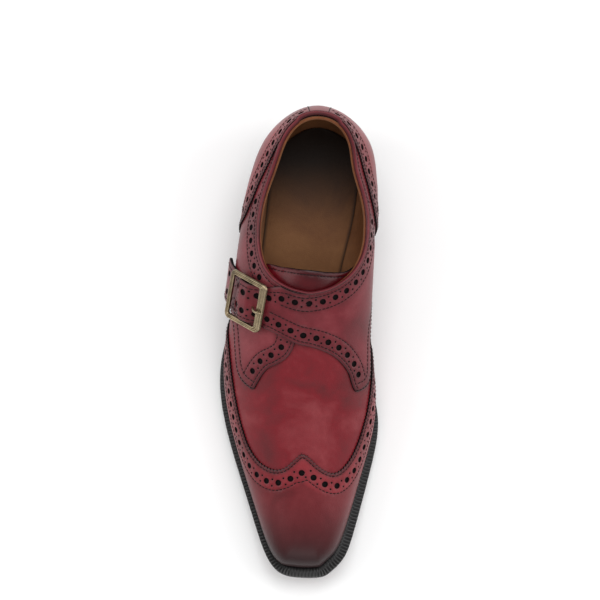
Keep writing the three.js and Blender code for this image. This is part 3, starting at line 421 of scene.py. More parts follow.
def section_point(w, t):
    """A point of one half section of the last, from the feather edge (t 0) to the crown (t 1)."""
    w = np.asarray(w, float)
    t = np.asarray(t, float)[..., None]
    row = np.abs(w)
    edge_x, edge_y = outline_point(w, feather_inset(w))
    foot = np.stack([edge_x, edge_y, feather_height(edge_y) + FEATHER_GAP], -1)
    crown = np.stack([spine_x(row), spine_y(row), crown_z(row)], -1)
    out = (foot - crown) * np.array([1, 1, 0])
    width = np.linalg.norm(out, axis=-1)
    out = out / width[..., None]
    behind = np.where(row < 0.05, 0.05, np.where(row > LAST_ROW - 0.05, LAST_ROW - 0.3, row - 0.05))
    ahead = np.where(row < 0.05, 0.3, np.where(row > LAST_ROW - 0.05, LAST_ROW - 0.05, row + 0.05))
    slope = (crown_z(ahead) - crown_z(behind)) / (spine_y(ahead) - spine_y(behind))
    lower = foot + out * swell(w)[..., None]
    lower[..., 2] += (crown[..., 2] - foot[..., 2]) * rise(row)
    upper = crown + out * (width * full(w))[..., None]
    upper[..., 2] += slope * (upper[..., 1] - crown[..., 1])
    back = 1 - t
    return back ** 3 * foot + 3 * back ** 2 * t * lower + 3 * back * t ** 2 * upper + t ** 3 * crown


def last_point(row, girth):
    """A point of the last: girth runs from the inner edge (0) over the crown (1) to the outer edge (2)."""
    row = np.asarray(row, float)
    girth = np.asarray(girth, float)
    return section_point(np.where(girth <= 1, row, -row), np.where(girth <= 1, girth, 2 - girth))


def last_normal(row, girth):
    row = np.asarray(row, float)
    girth = np.asarray(girth, float)
    side = np.where(girth <= 1, 1.0, -1.0)
    inner = np.clip(girth, 0.004, 1.996)
    t = np.where(side > 0, inner, 2 - inner)
    along = section_point(side * (row + 0.02), t) - section_point(side * (row - 0.02), t)
    up = section_point(side * row, t + side * 0.004) - section_point(side * row, t - side * 0.004)
    normal = np.cross(along, up)
    normal /= np.linalg.norm(normal, axis=-1)[..., None]
    r = np.clip(row, 0.2, LAST_ROW - 0.2)
    ridge = np.stack([0 * r, crown_z(r - 0.1) - crown_z(r + 0.1), spine_y(r + 0.1) - spine_y(r - 0.1)], -1)
    ridge /= np.linalg.norm(ridge, axis=-1)[..., None]
    near = np.clip(1 - np.abs(girth - 1) / 0.03, 0, 1)[..., None]
    normal = normal * (1 - near) + ridge * near
    flat = normal * np.array([1, 1, 0])
    flat /= np.maximum((flat ** 2).sum(-1), 0.25)[..., None]
    low = np.clip(np.minimum(girth, 2 - girth) / 0.1, 0, 1)[..., None]
    return normal * low + flat * (1 - low)


def crease_depth(row, girth):
    depth = 0 * row
    for middle_row, bow, middle, half, width, deep in CREASES:
        off = (girth - middle) / half
        fade = np.clip(1 - off ** 2, 0, 1) ** 2
        x = (row - middle_row - bow * (girth - middle) ** 2) / width
        depth = depth + deep * fade * np.exp(-x ** 2) * (1 - 0.6 * x ** 2)
    return depth


def on_the_last(row, girth, lift):
    """A point over the last, at a height in millimetres off it."""
    row = np.asarray(row, float)
    girth = np.asarray(girth, float)
    height = lift - crease_depth(row, girth)
    return last_point(row, girth) + last_normal(row, girth) * np.asarray(height)[..., None]


def collar_girth(row, side):
    """Where the top line crosses a half section, as a girth from that side's feather edge."""
    low = np.full(len(row), 0.2)
    high = np.full(len(row), 1.0)
    for _ in range(30):
        middle = (low + high) / 2
        point = section_point(side * row, middle)
        above = point[:, 2] > topline_z(point[:, 1])
        high = np.where(above, middle, high)
        low = np.where(above, low, middle)
    return low


many_rows = np.linspace(8, 11, 3001)
throat_row = float(np.interp(THROAT * SOLE_LENGTH, spine_y(many_rows), many_rows))
collar_rows = throat_row + (LAST_ROW - throat_row) * np.linspace(0, 1, 111) ** 2
collar_inner = np.stack([collar_rows, collar_girth(collar_rows, 1)], -1)
collar_outer = np.stack([collar_rows, 2 - collar_girth(collar_rows, -1)], -1)
collar_inner[0] = (throat_row, 1)


def kept_near(line):
    """A search tree over places of the last, kept as points in shoe millimetres."""
    points = last_point(*np.asarray(line).T)
    tree = KDTree(len(points))
    for i, point in enumerate(points):
        tree.insert(point, i)
    tree.balance()
    return tree


def distance_to(tree, points):
    return np.array([tree.find(point)[2] for point in points])


vamp_leather = leather(
    "vamp_leather", dye(90, 26, 31), dye(112, 20, 30), dye(130, 50, 55), dye(30, 10, 13), 0.4, coat=0.07)
# Lining tones darker than the bare calf: painted shade inside the shoe.
lining_calf_in_shade = leather(
    "lining_calf_in_shade", dye(88, 52, 29), dye(106, 66, 38), dye(120, 78, 46), dye(40, 26, 16), 0.55, coat=0.0)
WALL_STEPS = 72
CLOSED_ROWS = 125
wall_rows = np.concatenate([np.linspace(0, throat_row, CLOSED_ROWS), collar_rows[1:]])
reach_inner = np.concatenate([np.ones(CLOSED_ROWS), collar_inner[1:, 1]])
reach_outer = np.concatenate([np.ones(CLOSED_ROWS), 2 - collar_outer[1:, 1]])
share = np.linspace(0, 1, WALL_STEPS + 1)
wall_points = []
wall_faces = []
wall_finish = []
for reach, outer in ((reach_inner, False), (reach_outer, True)):
    girth = reach[:, None] * share[None, :]
    girth = 2 - girth if outer else girth
    row = np.repeat(wall_rows[:, None], WALL_STEPS + 1, 1)
    start = len(wall_points)
    for number, lift in enumerate((0.0, -UPPER_WALL)):
        quads = net(len(wall_rows), WALL_STEPS + 1, start=len(wall_points))
        wall_points += on_the_last(row, girth, lift).reshape(-1, 3).tolist()
        wall_faces += quads
        wall_finish += [number] * len(quads)
    for i in range(len(wall_rows) - 1):
        for j in ([0] if i < CLOSED_ROWS - 1 else [0, WALL_STEPS]):
            a = start + i * (WALL_STEPS + 1) + j
            b = a + WALL_STEPS + 1
            wall_faces.append((a, b, b + row.size, a + row.size))
            wall_finish.append(1)
wall_points = np.array(wall_points)
upper = piece(
    "vamp_and_lining", wall_points, wall_faces, [vamp_leather, lining_calf_in_shade], wall_finish,
    burnish_and_shade=np.zeros(len(wall_points)), weld=True, crisp=60)
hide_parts("upper")

# Wing cap. One calf piece covers the toe and runs back along both sides as wings. Its edge is
# pinked with a toothed wheel, and a punched brogue band follows it between two rows of stitches.
OVERLAY_THICK = 1.2
SEAM_GAP = 0.3
PUNCH_PITCH = 8.6
PUNCH_SIZE = 4.0
PINHOLE_SIZE = 1.3
PINHOLE_OFF = 2.15
HOLES_OFF = 7.0
TOE_HOLES_WIDER = 2.0
TOE_BAND_WIDER = 2.2
BAND_WIDE = 12.0
HOLE_ROOM = 3.2
PINHOLE_ROOM = 1.6
HOLE_CORNERS = 14
PINHOLE_CORNERS = 8
STITCH_PITCH = 2.6
STITCH_ROOM = 0.7
MESH_ROW = 0.07
MESH_GIRTH = 0.0155
FLAT_ROW = 18
FLAT_GIRTH = 80
PATTERN_STEPS = 8
EDGE_SEAM = 2.3
PINK_DEPTH = 0.9
THREAD_THICK = 0.3
THREAD_CORNERS = 6
STITCH_STEPS = np.array([-0.42, -0.3, 0, 0.3, 0.42])
WING_EDGE = [
    # row, girth
    (9.85, -0.1), (9.8, 0.0), (9.3, 0.16), (8.7, 0.28), (8.1, 0.36), (7.5, 0.4), (6.9, 0.42),
    (6.4, 0.44), (6.0, 0.48), (5.65, 0.56), (5.4, 0.66), (5.32, 0.76), (5.36, 0.88), (5.5, 0.98),
    (5.66, 1.06), (5.5, 1.14), (5.38, 1.22), (5.4, 1.32), (5.55, 1.42), (5.8, 1.52), (6.2, 1.6),
    (6.75, 1.635), (7.3, 1.65), (7.9, 1.67), (8.5, 1.7), (8.95, 1.77), (9.35, 1.87), (9.6, 2.0),
    (9.65, 2.1),
]
WING_PEAK = 14


def rounded(points, steps=PATTERN_STEPS):
    """A smooth line of (row, girth) through a pattern's points."""
    marks = np.array(points, float) * (1, 8)
    marks = np.vstack([2 * marks[0] - marks[1], marks, 2 * marks[-1] - marks[-2]])
    knots = np.sqrt(np.linalg.norm(np.diff(marks, axis=0), axis=1))
    line = []
    for i in range(1, len(marks) - 2):
        p0, p1, p2, p3 = marks[i - 1:i + 3]
        d0, d1, d2 = knots[i - 1:i + 2]
        leave = ((p1 - p0) / d0 - (p2 - p0) / (d0 + d1) + (p2 - p1) / d1) * d1
        arrive = ((p2 - p1) / d1 - (p3 - p1) / (d1 + d2) + (p3 - p2) / d2) * d1
        t = (np.arange(steps) / steps)[:, None]
        hermite = (2 * t ** 3 - 3 * t ** 2 + 1) * p1 + (t ** 3 - 2 * t ** 2 + t) * leave
        line.append(hermite + (3 * t ** 2 - 2 * t ** 3) * p2 + (t ** 3 - t ** 2) * arrive)
    return np.vstack([*line, marks[-2]]) / (1, 8)


def on_foot(line):
    """What of a pattern line lies between the two feather edges."""
    return line[(line[:, 1] > -1e-6) & (line[:, 1] < 2 + 1e-6)]


def walk(line):
    """Distance in millimetres along a line of (row, girth)."""
    steps = np.linalg.norm(np.diff(last_point(*line.T), axis=0), axis=1)
    return np.concatenate([[0], np.cumsum(steps)])


def at_stops(line, stops):
    """Places on a line at distances in millimetres from its start."""
    length = walk(line)
    return np.stack([np.interp(stops, length, line[:, k]) for k in (0, 1)], -1)


def spaced(line, pitch, start=0.0, end=0.0):
    """Evenly spaced places on a line, from start to end millimetres inside its two ends."""
    length = walk(line)[-1]
    count = max(2, int(round((length - start - end) / pitch)) + 1)
    return at_stops(line, np.linspace(start, length - end, count))


def measures(row, girth):
    """The last's own scale at a place: squares and product of one unit of row and one of girth."""
    to_row = (last_point(row + 0.05, girth) - last_point(row - 0.05, girth)) / 0.1
    low = np.clip(girth - 0.01, 0, 1.98)
    to_girth = (last_point(row, low + 0.02) - last_point(row, low)) / 0.02
    row_square = (to_row ** 2).sum(-1)
    girth_square = (to_girth ** 2).sum(-1)
    slant = (to_row * to_girth).sum(-1)
    return row_square, slant, girth_square, np.sqrt(np.maximum(row_square * girth_square - slant ** 2, 1e-6))


def beside(line, distance):
    """A line moved squarely sideways over the last, in millimetres, to its left if positive."""
    row_square, slant, girth_square, area = measures(*line.T)
    a, b = np.gradient(line, axis=0).T
    size = np.sqrt(np.maximum(row_square * a ** 2 + 2 * slant * a * b + girth_square * b ** 2, 1e-9))
    left = np.stack([-(slant * a + girth_square * b), row_square * a + slant * b], -1)
    return line + left * (distance / area / size)[:, None]


def parallel(line, distance, pitch=1.0):
    """A line at an even distance from another, without the loops that tight bends would make."""
    source = spaced(line, 0.8)
    moved = beside(source, distance)
    away = distance_to(kept_near(source), last_point(*moved.T))
    return spaced(moved[away > abs(distance) - 0.3], pitch)


def peaked(line, peak, distance, wider):
    """A line beside one with a sharp peak, wider round the toe, its halves cut where they meet."""
    halves = []
    for half in (line[:peak + 1], line[peak:]):
        half = spaced(half, 0.8)
        halves.append(beside(half, distance + wider * (1 - smooth(half[:, 0], 5.8, 7))))
    first, second = halves
    gaps = np.linalg.norm(last_point(*first.T)[:, None] - last_point(*second.T), axis=2)
    i, j = np.unravel_index(np.argmin(gaps), gaps.shape)
    return spaced(np.vstack([first[:i + 1], second[j:]]), 1.0)


def eased(line, times):
    """A line with its kinks rounded off, kept at both ends."""
    line = spaced(line, 1.0)
    for _ in range(times):
        line[1:-1] = (line[:-2] + 2 * line[1:-1] + line[2:]) / 4
    return line


def pinked(line, tooth=2.3, depth=PINK_DEPTH):
    """The zigzag edge that a toothed wheel cuts, to the left of a line."""
    marks = spaced(line, tooth / 2)
    inward = np.where(np.arange(len(marks)) % 2, depth, 0.0)
    inward[[0, -1]] = 0
    return beside(marks, inward)


def inside(points, loop):
    """Which points lie inside a closed line, in rows and girths."""
    hits = np.zeros(len(points), int)
    for p, q in zip(loop, np.roll(loop, -1, axis=0)):
        if p[1] != q[1]:
            across = (p[1] > points[:, 1]) != (q[1] > points[:, 1])
            reach = p[0] + (points[:, 1] - p[1]) * (q[0] - p[0]) / (q[1] - p[1])
            hits += across & (points[:, 0] < reach)
    return hits % 2 == 1


def disc(centre, radius, corners):
    """A round line of that radius in millimetres about a place on the last."""
    turn = np.arange(corners) * 2 * math.pi / corners
    row_square, slant, girth_square, area = measures(*centre)
    first = np.array([1 / math.sqrt(row_square), 0])
    second = np.array([-slant / row_square, 1]) * math.sqrt(row_square) / area
    return centre + radius * (np.cos(turn)[:, None] * first + np.sin(turn)[:, None] * second)


def with_room(places, loops, room):
    """Whether places lie in a leather piece, at least room millimetres from its edge."""
    rims = np.concatenate([spaced(np.vstack([loop, loop[:1]]), 0.8) for loop in loops])
    within = np.any([inside(places, loop) for loop in loops], axis=0)
    return within & (distance_to(kept_near(rims), last_point(*places.T)) > room)


def brogue_band(edge, loops, side=1, away=HOLES_OFF, first=6.0, last=6.0, peak=None):
    """Punched holes along an edge, with a pair of pinholes midway between each two of them."""
    holes_line = parallel(edge, side * away) if peak is None else peaked(edge, peak, away, TOE_HOLES_WIDER)
    length = walk(holes_line)
    ends = [first, length[-1] - last]
    if peak is not None:
        ends.insert(1, length[np.argmin(np.abs(holes_line[:, 1] - edge[peak, 1]))])
    stops = [ends[0]]
    for a, b in zip(ends[:-1], ends[1:]):
        holes = max(1, round((b - a) / PUNCH_PITCH))
        stops += np.linspace(a, b, 2 * holes + 1)[1:].tolist()
    places = at_stops(holes_line, stops)
    big = places[::2]
    small = np.vstack([beside(places, PINHOLE_OFF)[1::2], beside(places, -PINHOLE_OFF)[1::2]])
    return big[with_room(big, loops, HOLE_ROOM)], small[with_room(small, loops, PINHOLE_ROOM)]


def cut_leather(name, loops, top, bottom, finishes, big, small, pressed, shade, rubbed=0.7):
    """A leather piece cut to closed lines on the last, with punched holes and pressed seams."""
    points = []
    edges = []

    def ring(line, joined=True):
        start = len(points)
        points.extend(line.tolist())
        if joined:
            edges.extend((start + i, start + (i + 1) % len(line)) for i in range(len(line)))

    for loop in loops:
        ring(loop)
    big = np.reshape(big, (-1, 2))
    small = np.reshape(small, (-1, 2))
    for centre in big:
        ring(disc(centre, PUNCH_SIZE / 2 + 0.4, HOLE_CORNERS), False)
        ring(disc(centre, PUNCH_SIZE / 2, HOLE_CORNERS))
        ring(disc(centre, PUNCH_SIZE / 2 - 0.35, HOLE_CORNERS))
        ring(disc(centre, PUNCH_SIZE / 4, HOLE_CORNERS // 2), False)
    for centre in small:
        ring(disc(centre, PINHOLE_SIZE / 2 + 0.35, PINHOLE_CORNERS), False)
        ring(disc(centre, PINHOLE_SIZE / 2, PINHOLE_CORNERS))
        ring(centre[None], False)
    rims = np.concatenate([spaced(np.vstack([loop, loop[:1]]), 0.6) for loop in loops])
    rims = rims[(rims[:, 0] > 0.02) & (rims[:, 0] < LAST_ROW - 0.01)]
    rim_tree = kept_near(rims)
    hole_tree = kept_near(big) if len(big) else None
    pin_tree = kept_near(small) if len(small) else None
    seam_tree = kept_near(np.concatenate([spaced(line, 0.6) for line in pressed]))
    extra = [beside(loop, inward) for loop in loops for inward in (0.5, -0.5, 1.1, -1.1)]
    for line in pressed:
        marks = spaced(line, 1.3)
        extra += [marks, beside(marks, 0.55), beside(marks, -0.55)]
    extra = np.vstack(extra)
    low = np.min([loop.min(0) for loop in loops], axis=0)
    high = np.max([loop.max(0) for loop in loops], axis=0)
    grid_row, grid_girth = np.meshgrid(
        np.arange(low[0], high[0], MESH_ROW), np.arange(low[1], high[1], MESH_GIRTH), indexing="ij")
    grid = np.stack([grid_row.ravel(), grid_girth.ravel()], -1)
    for more, room in ((extra, 0.35), (grid, 0.75)):
        more = more[np.any([inside(more, loop) for loop in loops], axis=0)]
        more_points = last_point(*more.T)
        clear = distance_to(kept_near(points), more_points) > room
        for tree, radius in ((hole_tree, PUNCH_SIZE / 2 + 0.5), (pin_tree, PINHOLE_SIZE / 2 + 0.45)):
            if tree:
                clear &= distance_to(tree, more_points) > radius
        points.extend(more[clear].tolist())
    flat = [Vector((row * FLAT_ROW, girth * FLAT_GIRTH)) for row, girth in points]
    flat, _, triangles, _, _, _ = delaunay_2d_cdt(flat, edges, [], 0, 1e-6, False)
    place = np.array([(p[0] / FLAT_ROW, p[1] / FLAT_GIRTH) for p in flat])
    triangles = np.array(triangles)
    middles = place[triangles].mean(1)
    triangles = triangles[np.any([inside(middles, loop) for loop in loops], axis=0)]
    row = np.clip(place[:, 0], 0, LAST_ROW)
    girth = np.clip(place[:, 1], 0, 2)
    base = last_point(row, girth)
    edge = distance_to(rim_tree, base)
    drop = 0.5 * np.clip(1 - edge / 1.1, 0, 1) ** 2
    # Darker towards the cut edge: rubbed edge dye, and on the pinked wing cap and counter the wider band is
    # painted shadow under the teeth.
    burnish_and_shade = 0.9 * np.exp(-edge / rubbed) + 0.08 * np.exp(-edge / 5)
    finish = np.zeros(len(triangles), int)
    centre = last_point(*place[triangles].mean(1).T)
    # Painted shade in and round each punched hole: a dark ring on the leather and the near-black edge finish
    # on the hole's floor.
    for tree, size, deep in ((hole_tree, PUNCH_SIZE, 1.05), (pin_tree, PINHOLE_SIZE, 0.8)):
        if tree:
            hole = distance_to(tree, base)
            drop += deep * np.clip((size / 2 - hole) / 0.32, 0, 1)
            drop += 0.12 * np.clip(1 - np.abs(hole - size / 2) / 0.5, 0, 1)
            burnish_and_shade += 0.4 * np.exp(-np.clip(hole - size / 2, 0, 9) / 0.55)
            finish[distance_to(tree, centre) < size / 2 - 0.03] = 1
    seam = distance_to(seam_tree, base)
    drop += 0.28 * np.clip(1 - seam / 0.7, 0, 1) ** 2
    # Painted shade along the pressed seams, then each piece's own darkening from shade(base).
    burnish_and_shade += 0.5 * np.exp(-seam / 0.7) + shade(base)
    upside = on_the_last(row, girth, top(row, girth) - drop)
    underside = on_the_last(row, girth, bottom(row, girth))
    count = len(place)
    faces = [tuple(t) for t in triangles.tolist()]
    used = {side: True for a, b, c in faces for side in ((a, b), (b, c), (c, a))}
    walls = [side for side in used if side[::-1] not in used]
    on_seam = (row < 1e-4) | (row > LAST_ROW - 1e-4)
    faces += [(c + count, b + count, a + count) for a, b, c in triangles.tolist()]
    finish = finish.tolist() + [1] * len(triangles)
    for a, b in walls:
        if not (on_seam[a] and on_seam[b]):
            faces.append((b, a, a + count, b + count))
            finish.append(1)
    return piece(
        name, np.vstack([upside, underside]), faces, finishes, finish,
        burnish_and_shade=np.clip(np.concatenate([burnish_and_shade, burnish_and_shade]), 0, 0.96), weld=True, crisp=38)


def thread_bars(centre, side, up, size, start):
    """Short rounded bars of thread: the rings of points round each stitch, and their faces."""
    turn = np.arange(THREAD_CORNERS) * 2 * math.pi / THREAD_CORNERS
    rings = centre[:, :, None] + size[None, :, None, None] * (
        np.cos(turn)[None, None, :, None] * side[:, :, None]
        + np.sin(turn)[None, None, :, None] * up[:, :, None])
    faces = []
    steps = centre.shape[1]
    for first in range(start, start + len(centre) * steps * THREAD_CORNERS, steps * THREAD_CORNERS):
        faces += net(steps, THREAD_CORNERS, closed_across=True, start=first)
        faces.append(tuple(first + k for k in range(THREAD_CORNERS)))
        last = first + (steps - 1) * THREAD_CORNERS
        faces.append(tuple(last + k for k in reversed(range(THREAD_CORNERS))))
    return rings.reshape(-1, 3).tolist(), faces


def sew(name, lines, lift, finish, loops):
    """Rows of thread, each stitch a short rounded bar that dips into the leather at both ends."""
    points = []
    faces = []
    for line in lines:
        length = walk(line)
        count = int(length[-1] / STITCH_PITCH)
        middles = (np.arange(count) + 0.5) * length[-1] / max(count, 1)
        middles = middles[with_room(at_stops(line, middles), loops, STITCH_ROOM)]
        if len(middles):
            place = at_stops(line, middles[:, None] + STITCH_STEPS * STITCH_PITCH)
            row = place[..., 0]
            girth = place[..., 1]
            centre = on_the_last(row, girth, lift(row, girth) + np.array([-0.42, -0.1, 0.0, -0.1, -0.42]))
            up = last_normal(row, girth)
            run = np.gradient(centre, axis=1)
            run /= np.linalg.norm(run, axis=-1)[..., None]
            size = np.array([0.45, 0.92, 1.0, 0.92, 0.45]) * THREAD_THICK
            more_points, more_faces = thread_bars(centre, np.cross(run, up), up, size, len(points))
            points += more_points
            faces += more_faces
    return piece(name, points, faces, [finish])


def plain(name, colour, rough, metal=0.0, noise=0.12, scale=300, bump_strength=0.15, coat=0.0, shine=0.5):
    """A simple finish with a slight unevenness in colour, gloss and relief."""
    finish = new_finish(name, {
        "Metallic": metal, "Specular IOR Level": shine, "Coat Weight": coat, "Coat Roughness": 0.2})
    place = add_node(finish, "TexCoord", {}, {}).outputs["Object"]
    uneven = add_node(finish, "TexNoise", {"Scale": scale, "Detail": 5}, {"Vector": place}).outputs["Fac"]
    darker = (*[c * (1 - noise * 2) for c in colour[:3]], 1)
    lighter = (*[min(1, c * (1 + noise * 2)) for c in colour[:3]], 1)
    tones = toned(finish, uneven, ((0.3, darker), (0.7, lighter)))
    worn = add_node(finish, "MapRange", {"To Min": rough - 0.08, "To Max": rough + 0.1}, {"Value": uneven})
    bump = add_node(finish, "Bump", {"Strength": bump_strength, "Distance": 0.0003}, {"Height": uneven})
    wire_shader(finish, tones, worn.outputs["Result"], bump.outputs["Normal"])
    return finish


def overlay_top(row, girth):
    return SEAM_GAP + OVERLAY_THICK + 0 * row


def overlay_bottom(row, girth):
    return 0.04 + 0 * row


def toe_shade(point):
    """Darker towards the toe's tip and towards the welt, and the dye clears on the band and the wings."""
    tip = 1 - smooth(point[:, 1], 2, 58)
    low = 1 - smooth(point[:, 2] - feather_height(point[:, 1]), 2, 14)
    off_band = smooth(distance_to(kept_near(wing_line), point), 12.5, 16)
    front = 1 - smooth(point[:, 1], 60, 90)
    return 0.6 * tip + 0.2 * low + 0.4 * off_band * front


cap_leather = leather(
    "cap_leather", dye(104, 22, 29), dye(126, 32, 40), dye(142, 50, 56), dye(26, 10, 12), 0.38, coat=0.08)
# Dark edge paint for cut edges and undersides; on the floors of punched holes it is painted shade.
edge_paint_and_hole_shade = plain("edge_paint_and_hole_shade", dye(13, 7, 8), 0.75, shine=0.1)
thread = plain("thread", dye(22, 11, 13), 0.7, shine=0.2)
wing_line = on_foot(np.vstack([rounded(WING_EDGE[:WING_PEAK + 1]), rounded(WING_EDGE[WING_PEAK:])[1:]]))
toe_girths = np.linspace(0, 1, 61)
toe_girths = np.concatenate([2 - toe_girths[:-1], toe_girths[::-1]])
wing_loop = np.vstack([
    pinked(wing_line),
    np.linspace((9.5, 2.0), (0.1, 2.0), 150),
    np.stack([0 * toe_girths, toe_girths], -1),
    np.linspace((0.1, 0.0), (9.7, 0.0), 150),
])
wing_peak = np.argmin(np.linalg.norm(wing_line - WING_EDGE[WING_PEAK], axis=1))
wing_big, wing_small = brogue_band(wing_line, [wing_loop], peak=wing_peak)
wing_seams = [parallel(wing_line, 2.4), peaked(wing_line, wing_peak, BAND_WIDE, TOE_BAND_WIDER)]
wing_cap = cut_leather(
    "toe_wing_cap", [wing_loop], overlay_top, overlay_bottom, [cap_leather, edge_paint_and_hole_shade], wing_big,
    wing_small, wing_seams, toe_shade, rubbed=1.2)
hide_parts("wing_cap")
sew("toe_wing_cap_stitches", wing_seams, overlay_top, thread, [wing_loop])

# Quarters and strap. The outer quarter carries the buckle. The inner one is cut in one piece with the
# strap that crosses the instep to it. Both are greyer rubbed calf with the same brogue band, sewn
# together at the heel. The counter's front edges stand here too: the holes stop where it covers them.
BACK_SEAM = 15.98
STRAP_EXTRA_THICK = 0.8
COLLAR_BAND_WIDE = 11.8
LOW_SEAMS = (0.9, 5.6)
HOLE_TO_COUNTER = 2.9
STRAP_OVER_BAR = 3.9
STRAP_END_LIFT = 3.5
PRONG_HOLE = (9.42, 1.37)
COUNTER_MEDIAL = [
    # row, girth
    (10.95, -0.1), (11.0, 0.0), (11.2, 0.15), (11.42, 0.28), (11.55, 0.35), (11.95, 0.4),
    (12.65, 0.43), (13.45, 0.47), (14.3, 0.54), (15.1, 0.62),
]
COUNTER_LATERAL = [
    # row, girth
    (10.95, 2.1), (11.0, 2.0), (11.25, 1.86), (11.48, 1.76), (11.6, 1.7), (12.0, 1.62),
    (12.6, 1.58), (13.25, 1.53), (13.95, 1.48), (14.85, 1.39),
]
QUARTER_LATERAL_FRONT = [
    # row, girth
    (9.9, 2.1), (9.85, 2.0), (9.75, 1.88), (9.6, 1.76), (9.35, 1.67), (9.0, 1.62), (8.4, 1.6),
    (7.95, 1.585), (7.7, 1.55), (7.5, 1.48), (7.42, 1.43), (7.55, 1.39), (7.75, 1.34), (7.9, 1.29),
    (8.0, 1.22), (8.2, 1.14), (8.5, 1.1), (8.9, 1.09),
]
QUARTER_MEDIAL_FRONT = [
    # row, girth
    (10.1, -0.1), (10.05, 0.0), (9.95, 0.1), (9.7, 0.22), (9.35, 0.32), (8.9, 0.37), (8.4, 0.39),
    (7.95, 0.41), (7.75, 0.45), (7.6, 0.52), (7.52, 0.6), (7.65, 0.64), (7.9, 0.68), (8.1, 0.74),
    (8.25, 0.81), (8.35, 0.9), (8.42, 1.0), (8.5, 1.08), (8.66, 1.17), (8.8, 1.24), (8.91, 1.3),
]
STRAP_END = [
    # row, girth
    (9.05, 1.38), (9.24, 1.5), (9.41, 1.6), (9.6, 1.7), (9.76, 1.8), (9.9, 1.85), (10.15, 1.88),
    (10.4, 1.88), (10.6, 1.85), (10.68, 1.8), (10.48, 1.7), (10.29, 1.6), (10.11, 1.5), (9.92, 1.38),
    (9.84, 1.28),
]


def up_to_collar(line, collar, outer):
    """What of a line lies below the top line, ending on it."""
    edge = np.interp(line[:, 0], collar[:, 0], collar[:, 1])
    under = line[:, 1] > edge if outer else line[:, 1] < edge
    last = np.nonzero(under)[0][-1]
    beyond = min(last + 1, len(line) - 1)
    gap = abs(line[last, 1] - edge[last])
    share = gap / max(gap + abs(line[beyond, 1] - edge[beyond]), 1e-9)
    return np.vstack([line[:last + 1], line[last] * (1 - share) + line[beyond] * share])


def strap_lift(row, girth):
    """How far the strap stands off: onto the outer quarter, over the buckle's bar, up at its end."""
    onto = 1.5 * smooth(girth, 0.96, 1.08)
    over = STRAP_OVER_BAR * (smooth(girth, 1.35, 1.415) - smooth(girth, 1.47, 1.55))
    return onto + over + STRAP_END_LIFT * smooth(girth, 1.62, 1.88)


def strap_top(row, girth):
    thicker = STRAP_EXTRA_THICK * smooth(girth, 0.9, 1.1)
    return overlay_top(row, girth) + strap_lift(row, girth) + thicker


def strap_bottom(row, girth):
    return 0.04 + 0.26 * smooth(girth, 0.96, 1.08) + strap_lift(row, girth)


def quarter_shade(point):
    """Darker towards the bottom, over the lowest 15 mm of the sides and the heel."""
    low = 1 - smooth(point[:, 2] - feather_height(point[:, 1]), 1, 15)
    return 0.22 * low


quarter_leather = leather(
    "quarter_leather", dye(88, 25, 31), dye(106, 31, 39), dye(124, 50, 56), dye(26, 10, 12), 0.38, coat=0.08)
counter_inner_line = up_to_collar(on_foot(rounded(COUNTER_MEDIAL)), collar_inner, False)
counter_outer_line = up_to_collar(on_foot(rounded(COUNTER_LATERAL)), collar_outer, True)


def clear_of_counter(places):
    """Those places of a row of holes that the counter leaves uncovered."""
    uncovered = np.ones(len(places), bool)
    for line, side in ((counter_inner_line, 1), (counter_outer_line, -1)):
        room = distance_to(kept_near(spaced(line, 0.8)), last_point(*places.T))
        edge = np.interp(side * places[:, 1], side * line[:, 1], line[:, 0])
        beyond = (side * (places[:, 1] - 1) < 0) & (places[:, 0] > edge)
        uncovered &= (room > HOLE_TO_COUNTER) & ~beyond
    return places[uncovered]


def quarter_holes(loop, bands):
    """A quarter's punched holes and its pinholes, along several bands."""
    kinds = zip(*[brogue_band(edge, [loop], *places) for edge, *places in bands])
    return [clear_of_counter(np.vstack(kind)) for kind in kinds]


front_outer = on_foot(rounded(QUARTER_LATERAL_FRONT))
collar_line = eased(np.concatenate([collar_outer[:0:-1], collar_inner]), 30)
collar_back_outer = collar_outer[(collar_outer[:, 1] > 1.1) & (collar_outer[:, 0] < BACK_SEAM)]
outer_loop = np.vstack([
    front_outer,
    [(throat_row + 0.12, 1.1)],
    collar_back_outer,
    np.linspace((BACK_SEAM, collar_outer[-1, 1]), (BACK_SEAM, 2.0), 60),
    np.linspace((BACK_SEAM - 0.05, 2.0), (9.9, 2.0), 100),
])
front_band = front_outer[front_outer[:, 1] < 1.44]
front_low = front_outer[front_outer[:, 1] > 1.42]
collar_on_outer = collar_line[(collar_line[:, 1] > 1.22) & (collar_line[:, 0] < 15.6)]
collar_band_outer = collar_line[(collar_line[:, 1] > 1.3) & (collar_line[:, 0] < 15.2)]
outer_big, outer_small = quarter_holes(outer_loop, [
    # edge, side, off the edge, clear at the start, clear at the end
    (front_band, 1, HOLES_OFF, 8.0, 6.0),
    (collar_band_outer, -1, 7.4, 2.0, 4.0),
])
outer_seams = [parallel(line, away) for line, away in (
    (front_band, EDGE_SEAM),
    (spaced(front_band, 1.5, 5, 0), BAND_WIDE),
    (front_low, LOW_SEAMS[0]),
    (spaced(front_low, 1.5, 0, 3), LOW_SEAMS[1]),
    (collar_on_outer, -3.2),
    (collar_band_outer, -COLLAR_BAND_WIDE),
)]
quarter_outer = cut_leather(
    "quarter_outer", [outer_loop], overlay_top, overlay_bottom, [quarter_leather, edge_paint_and_hole_shade], outer_big,
    outer_small, outer_seams, quarter_shade)
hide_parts("quarter_lateral")
sew("quarter_outer_stitches", outer_seams, overlay_top, thread, [outer_loop])

